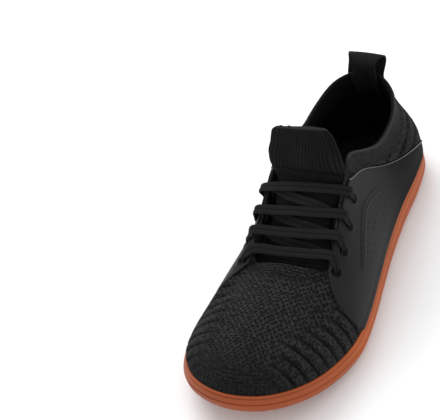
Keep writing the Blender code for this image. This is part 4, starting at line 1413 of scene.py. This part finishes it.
# %% Lace path
# Lace through an eyelet, from the top of the eyestay to its underside: distance inwards as a
# share of the eyelet's radius, height as a share of the lace's height over the knit or
# under it, the side it faces and its share of the full width.
# Columns: inwards, height, facing, width
EYELET_PATH = (
    (1.50, 1.00, "out", 0.85),
    (0.75, 0.98, "out", 0.60),
    (0.12, 0.35, "back", 0.50),
    (0.12, -0.35, "back", 0.50),
    (0.75, -0.90, "in", 0.60),
    (1.40, -1.00, "in", LACE_SQUEEZE),
)

# Shares of the way across the tongue where a bar and a diagonal of the lace have a node
BAR_SHARES = (0.68, 0.50, 0.32)
DIAGONAL_SHARES = (0.30, 0.50, 0.70)


def eyelet_nodes(side, turn):
    """Lace nodes through one eyelet, from the top of the eyestay to its underside."""
    rise = rise_below_edge(side * turn, EYELET_SETBACK)
    centre = upper_surface(side * turn, rise)
    out = upper_normal(side * turn, rise)
    inwards = upper_surface(side * turn, rise + 0.01) - centre
    inwards -= out * np.dot(inwards, out)
    inwards /= np.linalg.norm(inwards)
    under = KNIT_WALL + LACE_ROOM + LACE_THICKNESS / 2
    facings = {"out": out, "back": -inwards, "in": -out}
    nodes = []
    for reach, height, facing, width in EYELET_PATH:
        lift = height * (LACE_OVER if height > 0 else under)
        nodes.append((centre + inwards * reach * EYELET_DIAMETER / 2 + out * lift, facings[facing], width))
    return nodes


def bar_nodes(lateral, medial):
    """Lace nodes of a bar over the tongue, from its medial eyelet to its lateral one."""
    up = across_up(lateral, medial)
    start = off_upper(-medial, OVERLAY_TOP, LACE_OVER + 4 * GAP)
    end = off_upper(lateral, OVERLAY_TOP, LACE_OVER + 2 * GAP)
    nodes = [(start, upper_normal(-medial, OVERLAY_TOP), 1.0)]
    for share in BAR_SHARES:
        straight = start + (end - start) * (1 - share)
        under = across_tongue(lateral + (medial - lateral) * share, share)
        lift = np.dot(under - straight, up) + LACE_OVER
        nodes.append((straight + up * max(lift, 0.0), up, 1.0))
    nodes.append((end, upper_normal(lateral, OVERLAY_TOP), 1.0))
    return nodes


def diagonal_nodes(low, high):
    """Lace nodes under the lateral eyestay, up over the tongue and under the medial one."""
    below = LACE_ROOM + LACE_THICKNESS / 2
    nodes = [(inside_upper(low[0], 1.0, below), -upper_normal(low[0], 1.0), LACE_SQUEEZE)]
    for share in DIAGONAL_SHARES:
        turn = low[0] + (high[1] - low[0]) * share
        out = tongue_normal(turn, share)
        nodes.append((across_tongue(turn, share) + out * LACE_THICKNESS, -out, 1.0))
    nodes.append((inside_upper(-high[1], 1.0, below), -upper_normal(-high[1], 1.0), LACE_SQUEEZE))
    return nodes


def lace_path(step):
    """Places, facings and widths along the lace."""
    nodes = []
    for index, (lateral, medial) in enumerate(EYELETS):
        nodes += eyelet_nodes(-1, medial)[::-1]
        nodes += bar_nodes(lateral, medial)
        nodes += eyelet_nodes(1, lateral)
        if index + 1 < len(EYELETS):
            nodes += diagonal_nodes(EYELETS[index], EYELETS[index + 1])
    places = np.array([node[0] for node in nodes])
    facing = np.array([node[1] for node in nodes])
    spread = np.array([node[2] for node in nodes])
    walked = walk(places)
    steps = np.linspace(0, walked[-1], round(walked[-1] / step))
    path = through(walked, np.column_stack([places, facing, spread]), steps)
    return steps, path[:, :3], path[:, 3:6], path[:, 6]


# %% Lace piece
LACE_ROUND = 28
LACE_STEP = 0.9 * MM
VALLEY_DEPTH = 0.45
VALLEY_REACH = 0.16
TICK_PITCH = 1.5 * MM
STRAND_WIDTH = 0.9 * MM
VALLEY_EDGES = (0.7 * MM, 0.2 * MM)


def lace_section():
    """Points round the lace's section: two bands with a valley between, on both faces."""
    angle = np.linspace(0, 2 * math.pi, LACE_ROUND + 1)
    across = np.sign(np.cos(angle)) * np.abs(np.cos(angle)) ** 0.8
    up = np.sign(np.sin(angle)) * np.abs(np.sin(angle)) ** 0.55
    return across, up * (1 - VALLEY_DEPTH * hump(across, 0, VALLEY_REACH))


def make_lace(look):
    steps, place, face, spread = lace_path(LACE_STEP)
    ahead = np.gradient(place, steps, axis=0)
    ahead /= np.linalg.norm(ahead, axis=1)[:, None]
    face = face - ahead * np.sum(face * ahead, axis=1)[:, None]
    face /= np.linalg.norm(face, axis=1)[:, None]
    sideways = np.cross(ahead, face)
    across, up = lace_section()
    wide = (spread * LACE_WIDTH / 2)[:, None] * across
    high = (up * LACE_THICKNESS / 2)[:, None]
    points = place[:, None] + sideways[:, None] * wide[..., None] + face[:, None] * high
    flat = np.stack(np.meshgrid(across * LACE_WIDTH / 2, steps), axis=-1)
    bm = start_piece()
    add_grid(bm, points, flat)
    weld(bm)
    ends = [edge for edge in bm.edges if edge.is_boundary]
    bmesh.ops.holes_fill(bm, edges=ends, sides=0)
    finish_piece("flat_lace", bm, look, "laces")


def lace_look():
    look = Look("lace_weave", Specular_IOR_Level=0.12)
    across, along = look.flat()
    slant = across.size() * 0.8
    ticks = (along + slant).wave(TICK_PITCH)
    valley = across.size().between(*VALLEY_EDGES)
    strands = across.wave(STRAND_WIDTH)
    woven = look.blend(ticks * 0.5 + strands * 0.5, (0.0035, 0.0035, 0.0037), (0.0145, 0.0145, 0.015))
    # Painted shade in the valley between the lace's two bands
    colour = look.blend(valley * 0.7, woven, (0.0025, 0.0025, 0.0025))
    bump = ticks * 0.6 + strands * 0.5 - valley * 0.5
    return look.finish(colour, ticks * 0.1 + 0.68, bump, 0.35 * MM)


make_lace(lace_look())

# %% [markdown]
# ## Stage
#
# A pale floor, a large soft lamp up at the back left, a weak one at the front right
# and a white sky.

# %% Floor, lights and camera
CAMERA_AZIMUTH = math.radians(26.9)
CAMERA_ELEVATION = math.radians(41.0)
CAMERA_ROLL = math.radians(-7.5)
CAMERA_TARGET = Vector((1.6, 9.5, 40)) * MM
CAMERA_DISTANCE = 1.108
FRAME_WIDTH = 440
FRAME_HEIGHT = 420
TARGET_X = 321.8
TARGET_Y = 221.6
FOCAL_PIXELS = 1799
SENSOR = 36
FLOOR_REACH = 3.0
FLOOR_COLOUR = (0.915, 0.927, 0.933, 1)
FLOOR_DROP = 0.1 * MM
SKY_STRENGTH = 0.9
LAMP_TARGET = Vector((0, 0, 0.03))


def make_floor():
    bm = bmesh.new()
    bmesh.ops.create_grid(bm, x_segments=1, y_segments=1, size=FLOOR_REACH)
    mesh = bpy.data.meshes.new("floor")
    bm.to_mesh(mesh)
    bm.free()
    floor = hang("floor", mesh)
    look = Look("floor_white", Roughness=0.9, Base_Color=FLOOR_COLOUR, Specular_IOR_Level=0.1)
    mesh.materials.append(look.material)
    floor.location.z = -FLOOR_DROP


def make_lamp(name, spot, size, power):
    """Round soft lamp that shines on the shoe."""
    light = bpy.data.lights.new(name, "AREA")
    light.shape = "DISK"
    light.size = size
    light.energy = power
    lamp = hang(name, light)
    lamp.location = spot
    lamp.rotation_euler = (LAMP_TARGET - Vector(spot)).to_track_quat("-Z", "Y").to_euler()


def make_camera():
    """Camera that sees the shoe as the photo does, rolled a little."""
    back = Vector((
        math.sin(CAMERA_AZIMUTH) * math.cos(CAMERA_ELEVATION),
        -math.cos(CAMERA_AZIMUTH) * math.cos(CAMERA_ELEVATION),
        math.sin(CAMERA_ELEVATION),
    ))
    level = Vector((math.cos(CAMERA_AZIMUTH), math.sin(CAMERA_AZIMUTH), 0))
    rising = back.cross(level)
    right = level * math.cos(CAMERA_ROLL) + rising * math.sin(CAMERA_ROLL)
    up = rising * math.cos(CAMERA_ROLL) - level * math.sin(CAMERA_ROLL)
    aside = (TARGET_X - FRAME_WIDTH / 2) / FOCAL_PIXELS * CAMERA_DISTANCE
    above = (FRAME_HEIGHT / 2 - TARGET_Y) / FOCAL_PIXELS * CAMERA_DISTANCE
    spot = CAMERA_TARGET - right * aside - up * above + back * CAMERA_DISTANCE
    lens = bpy.data.cameras.new("camera")
    lens.sensor_width = SENSOR
    lens.lens = FOCAL_PIXELS * SENSOR / FRAME_WIDTH
    camera = hang("camera", lens)
    turned_to = Matrix((right, up, back)).transposed().to_4x4()
    camera.matrix_world = Matrix.Translation(spot) @ turned_to
    bpy.context.scene.camera = camera


def make_sky():
    world = bpy.data.worlds.new("sky")
    world.use_nodes = True
    background = world.node_tree.nodes["Background"]
    background.inputs["Color"].default_value = (1.0, 1.0, 1.0, 1)
    background.inputs["Strength"].default_value = SKY_STRENGTH
    bpy.context.scene.world = world


make_floor()
make_lamp("key", (-1.0, 0.6, 1.6), 1.5, 22)
make_lamp("fill", (1.2, -0.8, 1.0), 1.2, 2)
make_camera()
make_sky()
bpy.context.scene.view_settings.view_transform = "Standard"
